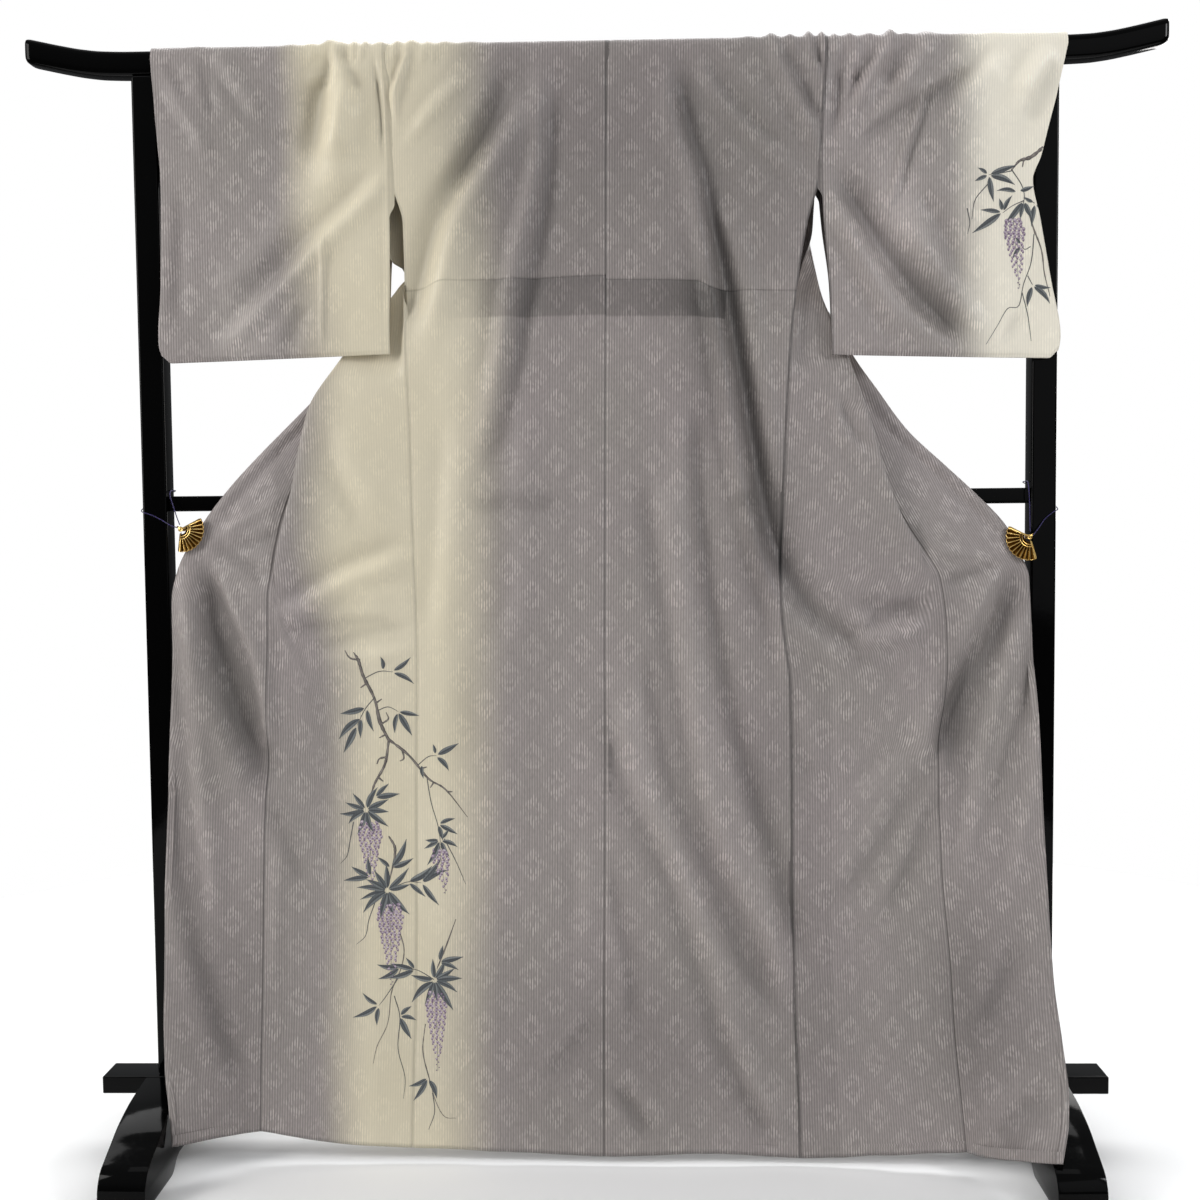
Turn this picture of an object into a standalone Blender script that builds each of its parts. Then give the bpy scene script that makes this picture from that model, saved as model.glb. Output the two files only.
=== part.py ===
# An unlined silk kimono (hitoe) hung by its sleeves on a black lacquered stand, seen from its back.
# The fronts are swung outwards like two doors and held at the sides by fan clips tied to the uprights.
# Metres, +Z up, floor at z = 0. X runs along the stand's bar, and -Y is the side that the back panels hang on.
# All tables are in centimetres.

import math

import bmesh
import bpy
import numpy as np

CM = 0.01

# ---------------------------------------------------------------- driving sizes (cm)
CLOTH = 0.12            # wall of one layer of cloth
COLLAR_WALL = 0.20      # the collar is a folded band of two layers
COLLAR_WIDTH = 5.5
SEAM = 0.06             # gap left between two pieces at a seam
HEM_NOMINAL = 2.0       # nominal height of the last row of every long panel
HEM_FADE = 40.0         # the hem's own rise and fall dies out at this height

BAR_TOP, BAR_BOTTOM, BAR_DEPTH, BAR_HALF = 164.6, 160.94, 3.6, 83.43
UPRIGHT_X, UPRIGHT_SIDE = 65.89, 3.69
RAIL_TOP, RAIL_BOTTOM = 99.22, 96.95
BASE_HALF, BASE_DEPTH, BASE_TOP, BASE_BOTTOM = 75.98, 5.54, 11.17, 8.53
FOOT_WIDTH = 6.75
JOINT_GAP = 0.03

SHOULDER_Z = 163.0      # where the cloth leaves the straight wall and starts over the bar
OVER_DEPTH, OVER_RISE, OVER_POWER = 2.3, 2.08, 2.6   # the cloth's path over the bar
NECK_FRACTION = 0.727   # share of a back panel's width from its side edge to the side of the neck

# ---------------------------------------------------------------- tables (cm)
# Line of the centre back seam.
CENTRE = (
    ("z", "x", "y"),
    (2, 0.5, -7.9), (12, 0.55, -6.9), (24, 0.65, -5.9), (42, 0.9, -4.9), (60, 1.1, -4.2), (76, 1.2, -3.7),
    (94, 1.4, -3.3), (112, 1.6, -3.0), (130, 1.85, -2.8), (146, 2.0, -2.6), (163, 2.2, -2.3),
)
# Side edges of the back panels: side seam up to the slit under the arm, then the armhole.
SIDE = {
    -1: (
        ("z", "x", "y"),
        (2, -28.1, -7.0), (12, -27.8, -6.3), (24, -27.4, -5.5), (42, -27.1, -4.6), (60, -26.9, -4.0),
        (76, -26.6, -3.7), (94, -27.0, -3.3), (110, -27.3, -3.1), (123, -27.8, -3.0), (129.6, -27.7, -2.9),
        (138.6, -27.8, -2.7), (145.7, -29.6, -2.55), (155, -29.8, -2.4), (163, -30.2, -2.3),
    ),
    1: (
        ("z", "x", "y"),
        (2, 29.4, -7.9), (12, 29.2, -7.0), (24, 28.8, -6.0), (44, 28.6, -4.8), (60, 28.6, -4.2),
        (69.5, 28.5, -3.9), (83, 27.1, -3.6), (98, 27.5, -3.3), (112, 28.2, -3.1), (128, 29.4, -2.9),
        (132.4, 30.0, -2.8), (138.6, 31.4, -2.7), (145.2, 33.1, -2.5), (155, 33.5, -2.4), (163, 34.0, -2.3),
    ),
}
# The fronts' free edges above the side seam, which pass behind the bar.
FREE = {
    -1: (("z", "x", "y"), (126, -27.7, -3.0), (129, -27.7, -2.6), (131.8, -27.7, -1.7), (133.6, -29.9, -1.5), (136, -30.25, -0.9), (138.5, -30.3, -0.25), (141, -30.3, 0.25), (144, -30.2, 0.7), (147, -29.9, 1.1), (151, -29.65, 1.9), (156, -29.8, 2.1), (163, -30.2, 2.3)),
    1: (("z", "x", "y"), (126, 29.3, -3.0), (128, 29.5, -2.8), (132, 30.4, -2.3), (136.5, 32.0, -0.8), (140, 32.5, 1.2), (150, 33.1, 1.9), (156, 33.4, 2.1), (163, 34.0, 2.3)),
}
SLIT = {-1: (127.5, 131.0), 1: (127.0, 130.5)}   # heights over which the front's edge leaves the back's
# Each row is one level cut through a front: from the side edge out to the fold 1, back in to the turn 2, out to
# the overlap's seam s and on to the front edge 3. Above z = 127 the overlap strip hasn't begun, so s is 3.
FRONT = {
    -1: (
        ("z", "x1", "y1", "x2", "y2", "xs", "ys", "x3", "y3", "swell"),
        (2, -36.0, -7.0, -43.5, -7.0, -50.7, -7.0, -61.8, -13.7, 0.3),
        (8, -35.6, -6.8, -43.2, -6.85, -50.5, -6.9, -62.5, -12.6, 0.2),
        (14, -35.4, -6.3, -43.0, -6.5, -50.4, -6.6, -63.7, -10.4, 0),
        (24, -35.0, -5.7, -42.5, -5.9, -50.1, -6.2, -64.3, -8.3, 0),
        (42, -34.6, -4.8, -42.2, -5.2, -49.7, -5.5, -64.2, -6.3, 0),
        (60, -36.5, -4.4, -43.0, -4.8, -49.0, -5.1, -63.7, -5.0, 0),
        (76, -42.5, -4.5, -45.8, -4.8, -48.5, -5.0, -63.1, -4.0, 0),
        (84, -46.9, -4.9, -47.6, -4.9, -48.4, -4.9, -63.0, -3.4, 0),
        (88, -47.3, -5.0, -46.6, -4.3, -47.9, -4.3, -62.3, -3.0, 0),
        (94, -46.2, -4.9, -44.8, -3.6, -46.9, -3.5, -59.2, -2.5, 0),
        (100, -44.7, -4.5, -42.1, -2.8, -45.0, -2.6, -54.8, -1.9, 0),
        (106, -43.6, -3.9, -39.3, -1.9, -42.2, -1.5, -49.4, -0.8, 0),
        (112, -42.2, -2.9, -35.5, -0.9, -38.6, -0.2, -43.6, 0.5, 0),
        (118.5, -38.1, -1.6, -28.0, 0.4, -34.8, 1.8, -37.8, 2.4, 0),
        (125, -33.0, -0.6, -21.5, 1.5, -31.0, 3.5, -32.5, 3.8, 0),
        (129.4, -28.9, -1.2, -19.2, 2.0, -29.1, 4.5, -29.1, 4.5, 0),
        (132, -27.3, 0.6, -17.8, 2.2, -27.2, 4.6, -27.2, 4.6, 0),
        (134.5, -27.2, 1.6, -16.6, 2.3, -25.4, 4.8, -25.4, 4.8, 0),
        (140, -26.0, 2.0, -14.5, 2.6, -21.5, 5.0, -21.5, 5.0, 0),
        (150, -26.0, 2.2, -11.6, 2.9, -15.0, 5.4, -15.0, 5.4, 0),
        (156, -25.5, 2.3, -11.4, 2.8, -10.9, 4.6, -10.9, 4.6, 0),
        (163, -25.0, 2.3, -13.0, 2.3, -7.0, 2.3, -7.0, 2.3, 0),
    ),
    1: (
        ("z", "x1", "y1", "x2", "y2", "xs", "ys", "x3", "y3", "swell"),
        (2, 37.3, -8.3, 45.2, -9.1, 53.0, -10.2, 63.6, -21.3, 1.8),
        (8, 37.0, -7.6, 44.8, -8.4, 52.6, -9.4, 65.4, -17.8, 1.5),
        (13, 36.8, -7.1, 44.5, -7.8, 52.2, -8.7, 66.0, -15.4, 1.0),
        (20, 36.6, -6.5, 44.1, -7.1, 51.7, -7.9, 65.7, -13.3, 0.6),
        (28, 36.4, -5.9, 43.9, -6.4, 51.4, -7.0, 65.2, -11.2, 0.3),
        (44, 36.2, -5.0, 43.2, -5.3, 50.2, -5.8, 64.9, -8.1, 0),
        (60, 37.5, -4.4, 44.0, -4.7, 49.9, -5.1, 64.5, -5.9, 0),
        (69, 41.0, -4.4, 46.5, -4.7, 50.8, -5.0, 64.15, -4.95, 0),
        (78, 44.6, -4.6, 48.6, -4.8, 51.0, -4.9, 63.7, -4.0, 0),
        (86, 47.6, -4.9, 49.2, -4.9, 50.1, -4.8, 63.5, -3.1, 0),
        (90, 47.4, -5.0, 47.0, -4.7, 48.0, -4.6, 62.1, -2.7, 0),
        (93.5, 45.4, -5.0, 44.6, -4.3, 45.8, -4.0, 60.3, -2.5, 0),
        (98.8, 43.2, -4.6, 41.2, -3.1, 43.0, -2.9, 55.5, -1.8, 0),
        (102.4, 42.1, -4.2, 39.6, -2.5, 41.5, -2.2, 51.8, -1.2, 0),
        (108, 40.7, -3.4, 37.0, -1.4, 39.7, -1.0, 46.1, -0.2, 0),
        (114, 38.8, -2.5, 34.2, -0.2, 38.0, 0.4, 42.0, 1.1, 0),
        (118.4, 37.3, -1.7, 31.5, 0.4, 36.8, 1.9, 39.2, 2.6, 0),
        (123, 35.4, -1.3, 29.0, 1.0, 35.6, 3.1, 36.6, 3.4, 0),
        (128, 33.3, -1.4, 26.0, 1.7, 34.2, 4.2, 34.2, 4.2, 0),
        (132, 32.4, -1.0, 23.4, 2.0, 31.6, 4.6, 31.6, 4.6, 0),
        (136.5, 31.6, 0.6, 21.0, 2.4, 28.6, 4.8, 28.6, 4.8, 0),
        (140, 30.6, 2.0, 19.3, 2.6, 26.3, 5.0, 26.3, 5.0, 0),
        (150, 29.8, 2.2, 16.2, 2.9, 19.4, 5.4, 19.4, 5.4, 0),
        (156, 29.5, 2.3, 15.8, 2.8, 15.2, 4.6, 15.2, 4.6, 0),
        (163, 29.0, 2.3, 17.5, 2.3, 11.2, 2.3, 11.2, 2.3, 0),
    ),
}
OKUMI_TOP = 126.0       # the overlap strip's pointed top end
# Height of the hem along the stand.
HEM = (
    ("x", "z"),
    (-62, 5.2), (-57.4, 5.2), (-50.7, 4.6), (-42, 3.1), (-29.9, 2.2), (-14.9, 1.8), (0.5, 1.3), (16.3, 1.7),
    (29.3, 1.1), (43.2, 2.1), (53, 3.1), (59.6, 5.6), (63.6, 6.5),
)
# The largest folds: a line from (x0, z0) to (x1, z1), its half-width and its height towards -Y at both ends.
FOLDS = (
    ("x0", "z0", "x1", "z1", "w0", "w1", "h0", "h1"),
    (-9.4, 160, -25.0, 125, 2.2, 3.2, 0.6, 0.9),      # left back, from the neck to the armpit
    (-12.7, 162, -22.0, 143, 2.2, 2.6, -0.4, -0.6),
    (-7.0, 158, -15.5, 105, 2.2, 3.0, -0.3, -0.5),
    (11.4, 160, 19.5, 122, 2.2, 2.6, -0.6, -0.9),     # right back, the long drag line from the shoulder
    (19.5, 122, 25.0, 92, 2.6, 2.6, -0.9, -0.8),
    (26.5, 88, 41.0, 75, 2.6, 2.4, -0.8, -0.6),       # the same line running on into the right front
    (14.5, 150, 23.5, 92, 2.2, 2.4, 0.3, 0.5),
    (24.7, 162, 32.5, 148, 2.0, 2.4, 0.4, 0.6),
    (12.0, 90, 27.5, 24, 2.4, 3.0, 0.4, 0.8),         # right back, the lower skirt's flares
    (4.0, 62, 26.5, 4, 2.6, 3.2, 0.3, 0.7),
    (15.0, 95, 28.0, 33, 2.2, 2.4, -0.4, -0.6),
    (9.0, 58, 26.0, 22, 2.2, 2.6, -0.3, -0.5),
    (-59.6, 89, -50.5, 54, 2.2, 2.8, -0.9, -1.0),     # left overlap, falling from the clip
    (-57.5, 90, -50.0, 66, 2.0, 2.2, 0.5, 0.7),
    (-61.5, 82, -57.5, 37, 2.2, 2.6, 0.4, 0.6),
    (-47.5, 81.5, -28.0, 91, 2.2, 2.4, 0.7, 0.4),     # left front, pucker across
    (61.0, 88, 50.8, 56, 2.2, 2.6, -0.9, -1.0),       # right overlap, falling from the clip
    (61.0, 82, 52.5, 44, 2.2, 2.4, 0.5, 0.6),
    (37.0, 79.5, 48.5, 80.5, 2.2, 2.2, 0.4, 0.6),     # right front, pucker across
    (34.0, 114, 39.5, 101, 2.2, 2.2, 0.6, 0.6),       # right front, the second pleat under the arm
)
# Where the cloth is bunched on the bar: place, half-width and rise.
BUNCHES = (("x", "w", "rise"), (-37.0, 4.5, 0.30), (-30.6, 2.5, 0.35), (-22.0, 5.0, 0.25), (26.0, 3.5, 0.45), (32.5, 2.2, 0.30), (38.5, 3.0, 0.35), (44.0, 2.6, 0.30))
# Sleeves: edges of the two layers at each height. xi is the edge by the body, xo the outer edge of the layer on the
# -Y side and xr that of the layer behind. y is the first layer's depth, and r0 to r3 the depth of the layer behind
# at 0, 0.75, 0.87 and 1 of the sleeve's width. Below the wrist opening both outer edges are one seam.
WRIST_END = {-1: 143.0, 1: 143.6}
SLEEVE = {
    -1: (
        ("z", "xi", "xo", "xr", "y", "r0", "r1", "r2", "r3"),
        (118.6, -30.0, -63.5, -63.5, -3.10, -2.85, -2.60, -2.80, -2.90),
        (122, -30.0, -64.2, -64.2, -3.10, -2.60, -0.40, -2.30, -2.60),
        (130, -29.85, -63.7, -63.7, -2.95, -1.70, 0.60, -2.10, -2.45),
        (138, -29.75, -63.5, -63.5, -2.80, 0.40, 1.20, -1.50, -2.35),
        (143, -29.75, -63.4, -63.4, -2.70, 1.30, 1.50, -0.30, -2.30),
        (146.5, -29.75, -63.45, -63.4, -2.62, 1.60, 1.80, 1.10, 0.40),
        (150, -29.85, -63.7, -63.5, -2.55, 1.80, 2.00, 2.00, 2.10),
        (155, -29.95, -64.1, -64.0, -2.45, 2.10, 2.30, 2.30, 2.40),
        (163, -30.35, -64.6, -64.5, -2.30, 2.30, 2.30, 2.30, 2.30),
    ),
    1: (
        ("z", "xi", "xo", "xr", "y", "r0", "r1", "r2", "r3"),
        (117.8, 34.8, 67.2, 67.2, -3.10, -2.85, -2.60, -2.80, -2.90),
        (121, 34.7, 67.7, 67.7, -3.10, -2.60, -0.40, -2.35, -2.60),
        (129, 34.4, 66.4, 66.4, -2.95, -2.10, 0.60, -2.15, -2.45),
        (138, 33.6, 64.8, 64.8, -2.80, 0.20, 1.20, -1.80, -2.35),
        (143.6, 33.3, 63.7, 63.7, -2.70, 1.30, 1.50, -0.60, -2.30),
        (147, 33.25, 64.9, 63.4, -2.62, 1.60, 1.80, 1.10, 0.40),
        (151, 33.4, 65.9, 63.5, -2.55, 1.80, 2.00, 2.00, 2.15),
        (156, 33.65, 67.2, 66.0, -2.45, 2.10, 2.30, 2.35, 2.45),
        (163, 34.15, 68.7, 68.4, -2.30, 2.30, 2.30, 2.30, 2.30),
    ),
}
SLEEVE_BOTTOM = {-1: (119.7, 118.7), 1: (118.8, 117.9)}   # by the body, outer
CUFF_CORNER = 1.1       # rise of the rounded corner below the wrist

# Stand.
BAR_END = (("x", "lift"), (0, 0), (68, 0), (72, 0.12), (75, 0.45), (78, 1.0), (81, 1.65), (83.43, 2.2))
FOOT_TOP = (("y", "z"), (2.80, 11.1), (6.9, 10.6), (10.5, 10.0), (14.6, 8.8), (17.8, 7.3), (20.1, 6.2), (21.6, 5.4), (22.5, 4.4), (23.0, 3.3), (23.2, 2.0), (23.2, 0.0))
FOOT_ARCH = (("y", "z"), (12.0, 0.0), (10.6, 0.5), (9.6, 1.5), (8.4, 2.0), (0.0, 2.0))

# Clips: the pivot, the two outer ribs' directions and the fan's reach.
FAN = {-1: (-61.5, 94.3, 23, -93), 1: (63.4, 92.0, 157, 283)}
FAN_REACH, FAN_PLEATS, FAN_Y, FAN_WALL = 3.5, 9, -3.35, 0.16


# ---------------------------------------------------------------- curves through table columns
def pchip(xs, ys):
    """A smooth curve through the points that doesn't overshoot between them."""
    xs, ys = np.array(xs, float), np.array(ys, float)
    h = np.diff(xs)
    d = np.diff(ys) / h
    m = np.concatenate([d[:1], np.zeros(len(xs) - 2), d[-1:]])
    for i in range(1, len(xs) - 1):
        if d[i - 1] * d[i] > 0:
            w1, w2 = 2 * h[i] + h[i - 1], h[i] + 2 * h[i - 1]
            m[i] = (w1 + w2) / (w1 / d[i - 1] + w2 / d[i])

    def at(x):
        x = np.clip(np.asarray(x, float), xs[0], xs[-1])
        i = np.clip(np.searchsorted(xs, x, side="right") - 1, 0, len(h) - 1)
        t = (x - xs[i]) / h[i]
        return ys[i] * (1 + 2 * t) * (1 - t) ** 2 + h[i] * m[i] * t * (1 - t) ** 2 + ys[i + 1] * t * t * (3 - 2 * t) + h[i] * m[i + 1] * t * t * (t - 1)

    return at


def columns(table):
    """Each named column of a table as a curve over its first column."""
    names, rows = table[0], table[1:]
    first = [r[0] for r in rows]
    return {n: pchip(first, [r[i] for r in rows]) for i, n in enumerate(names) if i}


def smooth(t):
    t = np.clip(t, 0, 1)
    return t * t * (3 - 2 * t)


centre = columns(CENTRE)
hem = columns(HEM)["z"]
side_of = {s: columns(SIDE[s]) for s in (-1, 1)}
free_of = {s: columns(FREE[s]) for s in (-1, 1)}
front_of = {s: columns(FRONT[s]) for s in (-1, 1)}
sleeve_of = {s: columns(SLEEVE[s]) for s in (-1, 1)}


def relief(x, z, folds=FOLDS):
    """Height of the folds towards -Y at a place on the garment."""
    total = np.zeros(np.broadcast(x, z).shape)
    for x0, z0, x1, z1, w0, w1, h0, h1 in folds[1:]:
        dx, dz = x1 - x0, z1 - z0
        length = math.hypot(dx, dz)
        t = ((x - x0) * dx + (z - z0) * dz) / length**2
        off = ((x - x0) * dz - (z - z0) * dx) / length
        tc = np.clip(t, 0, 1)
        ends = smooth((t + 0.12) / 0.3) * smooth((1.12 - t) / 0.3)
        total = total + (h0 + (h1 - h0) * tc) * ends * np.exp(-((off / (w0 + (w1 - w0) * tc)) ** 2))
    return total


def level(x, z):
    """The height at x of the row whose nominal height is z: rows near the hem follow it."""
    low = np.clip((HEM_FADE - z) / (HEM_FADE - HEM_NOMINAL), 0, None)
    return z + (hem(x) - HEM_NOMINAL) * low**2


def shoulder_fade(z):
    """Folds die out where the cloth lies tight over the bar."""
    return smooth((SHOULDER_Z + 1.0 - z) / 9.0)


def bunch(x):
    """Rise of the bunched cloth on top of the bar."""
    return sum(rise * np.exp(-(((x - place) / w) ** 2)) for place, w, rise in BUNCHES[1:])


def back_row(s, z, f):
    """Points of a back panel's row: f runs from 0 at the side edge to 1 at the centre seam."""
    f = f + (np.linspace(0, 1, len(f)) - f) * smooth((SHOULDER_Z - z) / 16)
    x0, x1 = side_of[s]["x"](z), centre["x"](z) + s * SEAM / 2
    y0, y1 = side_of[s]["y"](z), centre["y"](z)
    x = x0 + (x1 - x0) * f
    y = y0 + (y1 - y0) * f - relief(x, z) * shoulder_fade(z)
    return np.stack([x, y, level(x, z)], -1)


def over_bar(turn):
    """(y, z) of the cloth over the bar: turn runs from 0 on the -Y side to 1 behind."""
    a = math.pi * turn
    c, q = math.cos(a), math.sin(a)
    return (-OVER_DEPTH * math.copysign(abs(c) ** (2 / OVER_POWER), c), SHOULDER_Z + OVER_RISE * abs(q) ** (2 / OVER_POWER))


K = np.array([0, 0.15, 0.5, 0.84, 1.0, 1.16, 1.5, 1.84, 2.0, 2.16, 2.45, 2.75, 3.0])   # a front's columns


def front_edge(s, z):
    """(x, y) of a front's side edge: on the side seam low down, free above it."""
    part = smooth((z - SLIT[s][0]) / (SLIT[s][1] - SLIT[s][0]))
    x = side_of[s]["x"](z) * (1 - part) + free_of[s]["x"](z) * part + s * SEAM
    return x, side_of[s]["y"](z) * (1 - part) + free_of[s]["y"](z) * part


def front_row(s, z, k):
    """Points of a front's row: k runs from 0 at the side edge, by 1 at the outer fold and 2 at the inner turn, to 3 at the overlap's seam."""
    c = {n: float(f(z)) for n, f in front_of[s].items()}
    x0, y0 = (float(v) for v in front_edge(s, z))
    lap = s * (c["x1"] - c["x2"])                     # how far the fold lies over the turn
    gap = min(0.45, max(0.0, 0.13 * lap)) * float(smooth((SHOULDER_Z - z) / 8))
    e = 0.16
    k = k + (np.linspace(0, 3, len(k)) - k) * float(smooth((80 - z) / 14)) if len(k) == len(K) else k
    x = pchip([0, 1, 2, 3], [x0, c["x1"], c["x2"], c["xs"]])(k)
    behind = float(smooth((z - 115) / 4) * smooth((134 - z) / 5))   # the front turns sharply in behind the sleeve
    near = y0 + (c["y1"] - y0) * (0.15 + 0.70 * behind)
    top = y0 + (c["y1"] - y0) * (0.5 + 0.42 * behind) - 0.25 * smooth((112 - z) / 12) * smooth((z - 60) / 20)
    y = pchip(
        [0, 0.15, 0.5, 1 - e, 1, 1 + e, 2 - e, 2, 2 + e, 3],
        [y0, near, top, c["y1"] - gap * 0.8, c["y1"], c["y1"] + gap, c["y2"] - gap, c["y2"], c["y2"] + gap, c["ys"]],
    )(k)
    seen = smooth((116 - z) / 8) + (1 - smooth((116 - z) / 8)) * (1 - smooth((k - 0.7) / 0.3)) * smooth((128 - z) / 4)
    y = y - relief(x, z) * seen
    return np.stack([x, y, level(x, z)], -1)


def okumi_row(s, z, m):
    """Points of an overlap strip's row: m runs from 0 at its seam to 1 at the front edge."""
    c = {n: float(f(z)) for n, f in front_of[s].items()}
    xs = c["xs"] + s * SEAM
    x = xs + (c["x3"] - xs) * m
    y = c["ys"] + (c["y3"] - c["ys"]) * m - c["swell"] * np.sin(math.pi * m) - relief(x, z) * smooth((116 - z) / 8)
    return np.stack([x, y, level(x, z)], -1)


def sleeve_ring(s, a, levels, top):
    """Points round a sleeve at a share a of its width from the body: down the -Y layer, along the bottom, up the layer behind and over the bar."""
    c = sleeve_of[s]
    inner, outer = SLEEVE_BOTTOM[s]
    bottom = inner + (outer - inner) * a + CUFF_CORNER * smooth((a - 0.955) / 0.045) ** 2
    ends = {"y": c["y"], "r0": c["r0"], "r1": c["r1"], "r2": c["r2"], "r3": c["r3"]}
    down, up = [], []
    for t in levels:
        z = SHOULDER_Z + (bottom - SHOULDER_Z) * t
        xf = c["xi"](z) + (c["xo"](z) - c["xi"](z)) * a
        xr = c["xi"](z) + (c["xr"](z) - c["xi"](z)) * a
        yf = ends["y"](z) - float(relief(xf, z, SLEEVE_FOLDS[s]) * shoulder_fade(z) * smooth((z - 118) / 5) * smooth(a / 0.06))
        yr = pchip([0, 0.75, 0.87, 1], [ends[n](z) for n in ("r0", "r1", "r2", "r3")])(a)
        close = smooth((t - 0.985) / 0.015)           # the two layers meet in the bottom seam
        mid = (yf + yr) / 2
        down.append((xf, yf + (mid - yf) * close, z))
        up.append((xr, yr + (mid - yr) * close, z))
    ring = down + up[::-1][1:]
    xt = c["xi"](SHOULDER_Z) + (c["xo"](SHOULDER_Z) - c["xi"](SHOULDER_Z)) * a
    for turn in top:
        y, z = over_bar(1 - turn)
        ring.append((xt, y, z + bunch(xt) * math.sin(math.pi * turn)))
    return [tuple(float(v) for v in p) for p in ring]


# The sleeves' largest folds, in the same columns as the body's.
SLEEVE_FOLDS = {
    -1: (
        ("x0", "z0", "x1", "z1", "w0", "w1", "h0", "h1"),
        (-37.3, 164, -39.0, 148, 2.6, 3.2, 0.5, 0.6),
        (-31.0, 146, -55.5, 121, 2.6, 2.8, 0.6, 0.5),
        (-56.0, 163, -49.5, 154, 2.6, 2.8, 0.4, 0.3),
        (-44.0, 140, -54.0, 128, 2.8, 2.8, -0.3, -0.3),
    ),
    1: (
        ("x0", "z0", "x1", "z1", "w0", "w1", "h0", "h1"),
        (35.0, 143.5, 54.5, 120, 2.6, 3.0, -0.7, -0.7),
        (44.5, 138.5, 56.0, 121, 2.4, 2.6, 0.4, 0.5),
        (57.0, 161, 38.5, 149, 2.4, 2.6, -0.5, -0.4),
        (59.0, 163, 51.0, 151, 2.6, 2.8, 0.4, 0.4),
    ),
}


# ---------------------------------------------------------------- building
for old in list(bpy.data.objects):
    bpy.data.objects.remove(old, do_unlink=True)


def material(name, colour, roughness, metallic=0.0):
    made = bpy.data.materials.new(name)
    made.use_nodes = True
    shader = made.node_tree.nodes["Principled BSDF"]
    shader.inputs["Base Color"].default_value = (*colour, 1)
    shader.inputs["Roughness"].default_value = roughness
    shader.inputs["Metallic"].default_value = metallic
    return made


SILK = material("silk", (0.36, 0.32, 0.31), 0.6)
SILK_LIGHT = material("silk_collar", (0.40, 0.36, 0.34), 0.6)
LACQUER = material("black_lacquer", (0.006, 0.006, 0.007), 0.12)
GILT = material("gilt", (0.45, 0.30, 0.09), 0.35, 1.0)
CORD = material("purple_cord", (0.03, 0.01, 0.09), 0.7)


def link(name, mesh, finish):
    obj = bpy.data.objects.new(name, mesh)
    bpy.context.scene.collection.objects.link(obj)
    mesh.materials.append(finish)
    return obj


def mesh_from(name, points, faces, finish, smooth_angle=None):
    mesh = bpy.data.meshes.new(name)
    mesh.from_pydata([tuple(c * CM for c in p) for p in points], [], faces)
    obj = link(name, mesh, finish)
    if smooth_angle is not None:
        mesh.shade_smooth()
        mesh.set_sharp_from_angle(angle=math.radians(smooth_angle))
    return obj


def cloth(name, points, faces, wall=CLOTH, finish=SILK):
    """A sheet through the points, given its wall by Solidify on both sides."""
    used = sorted({i for f in faces for i in f})
    place = {old: new for new, old in enumerate(used)}
    obj = mesh_from(name, [points[i] for i in used], [tuple(place[i] for i in f) for f in faces], finish, 50)
    solid = obj.modifiers.new("wall", "SOLIDIFY")
    solid.thickness = wall * CM
    solid.offset = 0.0
    solid.use_even_offset = False
    solid.use_rim = True
    return obj


def grid_faces(rows, cols, keep=None):
    return [
        (r * cols + c, r * cols + c + 1, (r + 1) * cols + c + 1, (r + 1) * cols + c)
        for r in range(rows - 1)
        for c in range(cols - 1)
        if keep is None or keep(r, c)
    ]


# ---- body panels: back hem, up the back, over the bar, down the front
BACK_Z = (2, 8, 15, 24, 34, 46, 58, 68, 82, 93.5, 106, 118.4, 129.4, 136.5, 145, 155, 163)
FRONT_Z = (163, 159, 155, 150, 145, 140, 136.5, 134.5, 132, 129.4, 126, 122, 118.4, 115, 111, 106, 101, 97, 93.5, 90, 86, 82, 76, 68, 58, 46, 34, 24, 15, 8, 2)
NECK_COLUMNS = 3
TURNS = (0.12, 0.3, 0.5, 0.7, 0.88)


def shares(s):
    """The back panel's columns: the front's own columns at the shoulder, then the ones that end at the neck."""
    x = front_row(s, SHOULDER_Z, K)[:, 0]
    x0, x1 = x[0], float(centre["x"](SHOULDER_Z))
    f = (x - x0) / (x1 - x0)
    return np.concatenate([f, np.linspace(f[-1], 1, NECK_COLUMNS + 1)[1:]])


def body(s, name):
    f = shares(s)
    cols = len(f)
    rows = [back_row(s, z, f) for z in BACK_Z]
    for turn in TURNS:
        y, z = over_bar(turn)
        flat = back_row(s, SHOULDER_Z, f)
        rows.append(np.stack([flat[:, 0], np.full(cols, y), z + bunch(flat[:, 0]) * math.sin(math.pi * turn)], -1))
    neck_row = len(rows) - 1                           # the neckline lies just behind the bar's top
    for z in FRONT_Z:
        row = front_row(s, z, K)
        rows.append(np.concatenate([row, np.repeat(row[-1:], NECK_COLUMNS, 0)]))
    points = np.concatenate(rows)
    faces = grid_faces(len(rows), cols, lambda r, c: r < neck_row or c < len(K) - 1)
    if s > 0:
        faces = [f_[::-1] for f_ in faces]
    return cloth(name, points, faces)


body(-1, "body_left")
body(1, "body_right")

# ---- overlap strips
OKUMI_Z = (OKUMI_TOP, 122, 118.4, 115, 111, 106, 101, 97, 93.5, 90, 86, 82, 76, 68, 58, 46, 34, 24, 15, 8, 2)


def okumi(s, name):
    m = np.linspace(0, 1, 6)
    rows = [okumi_row(s, z, m) for z in OKUMI_Z]
    faces = grid_faces(len(rows), len(m))
    if s > 0:
        faces = [f[::-1] for f in faces]
    return cloth(name, np.concatenate(rows), faces)


okumi(-1, "okumi_left")
okumi(1, "okumi_right")

# ---- sleeves
STATIONS = (0, 0.1, 0.22, 0.36, 0.5, 0.64, 0.78, 0.87, 0.94, 1.0)


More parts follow.
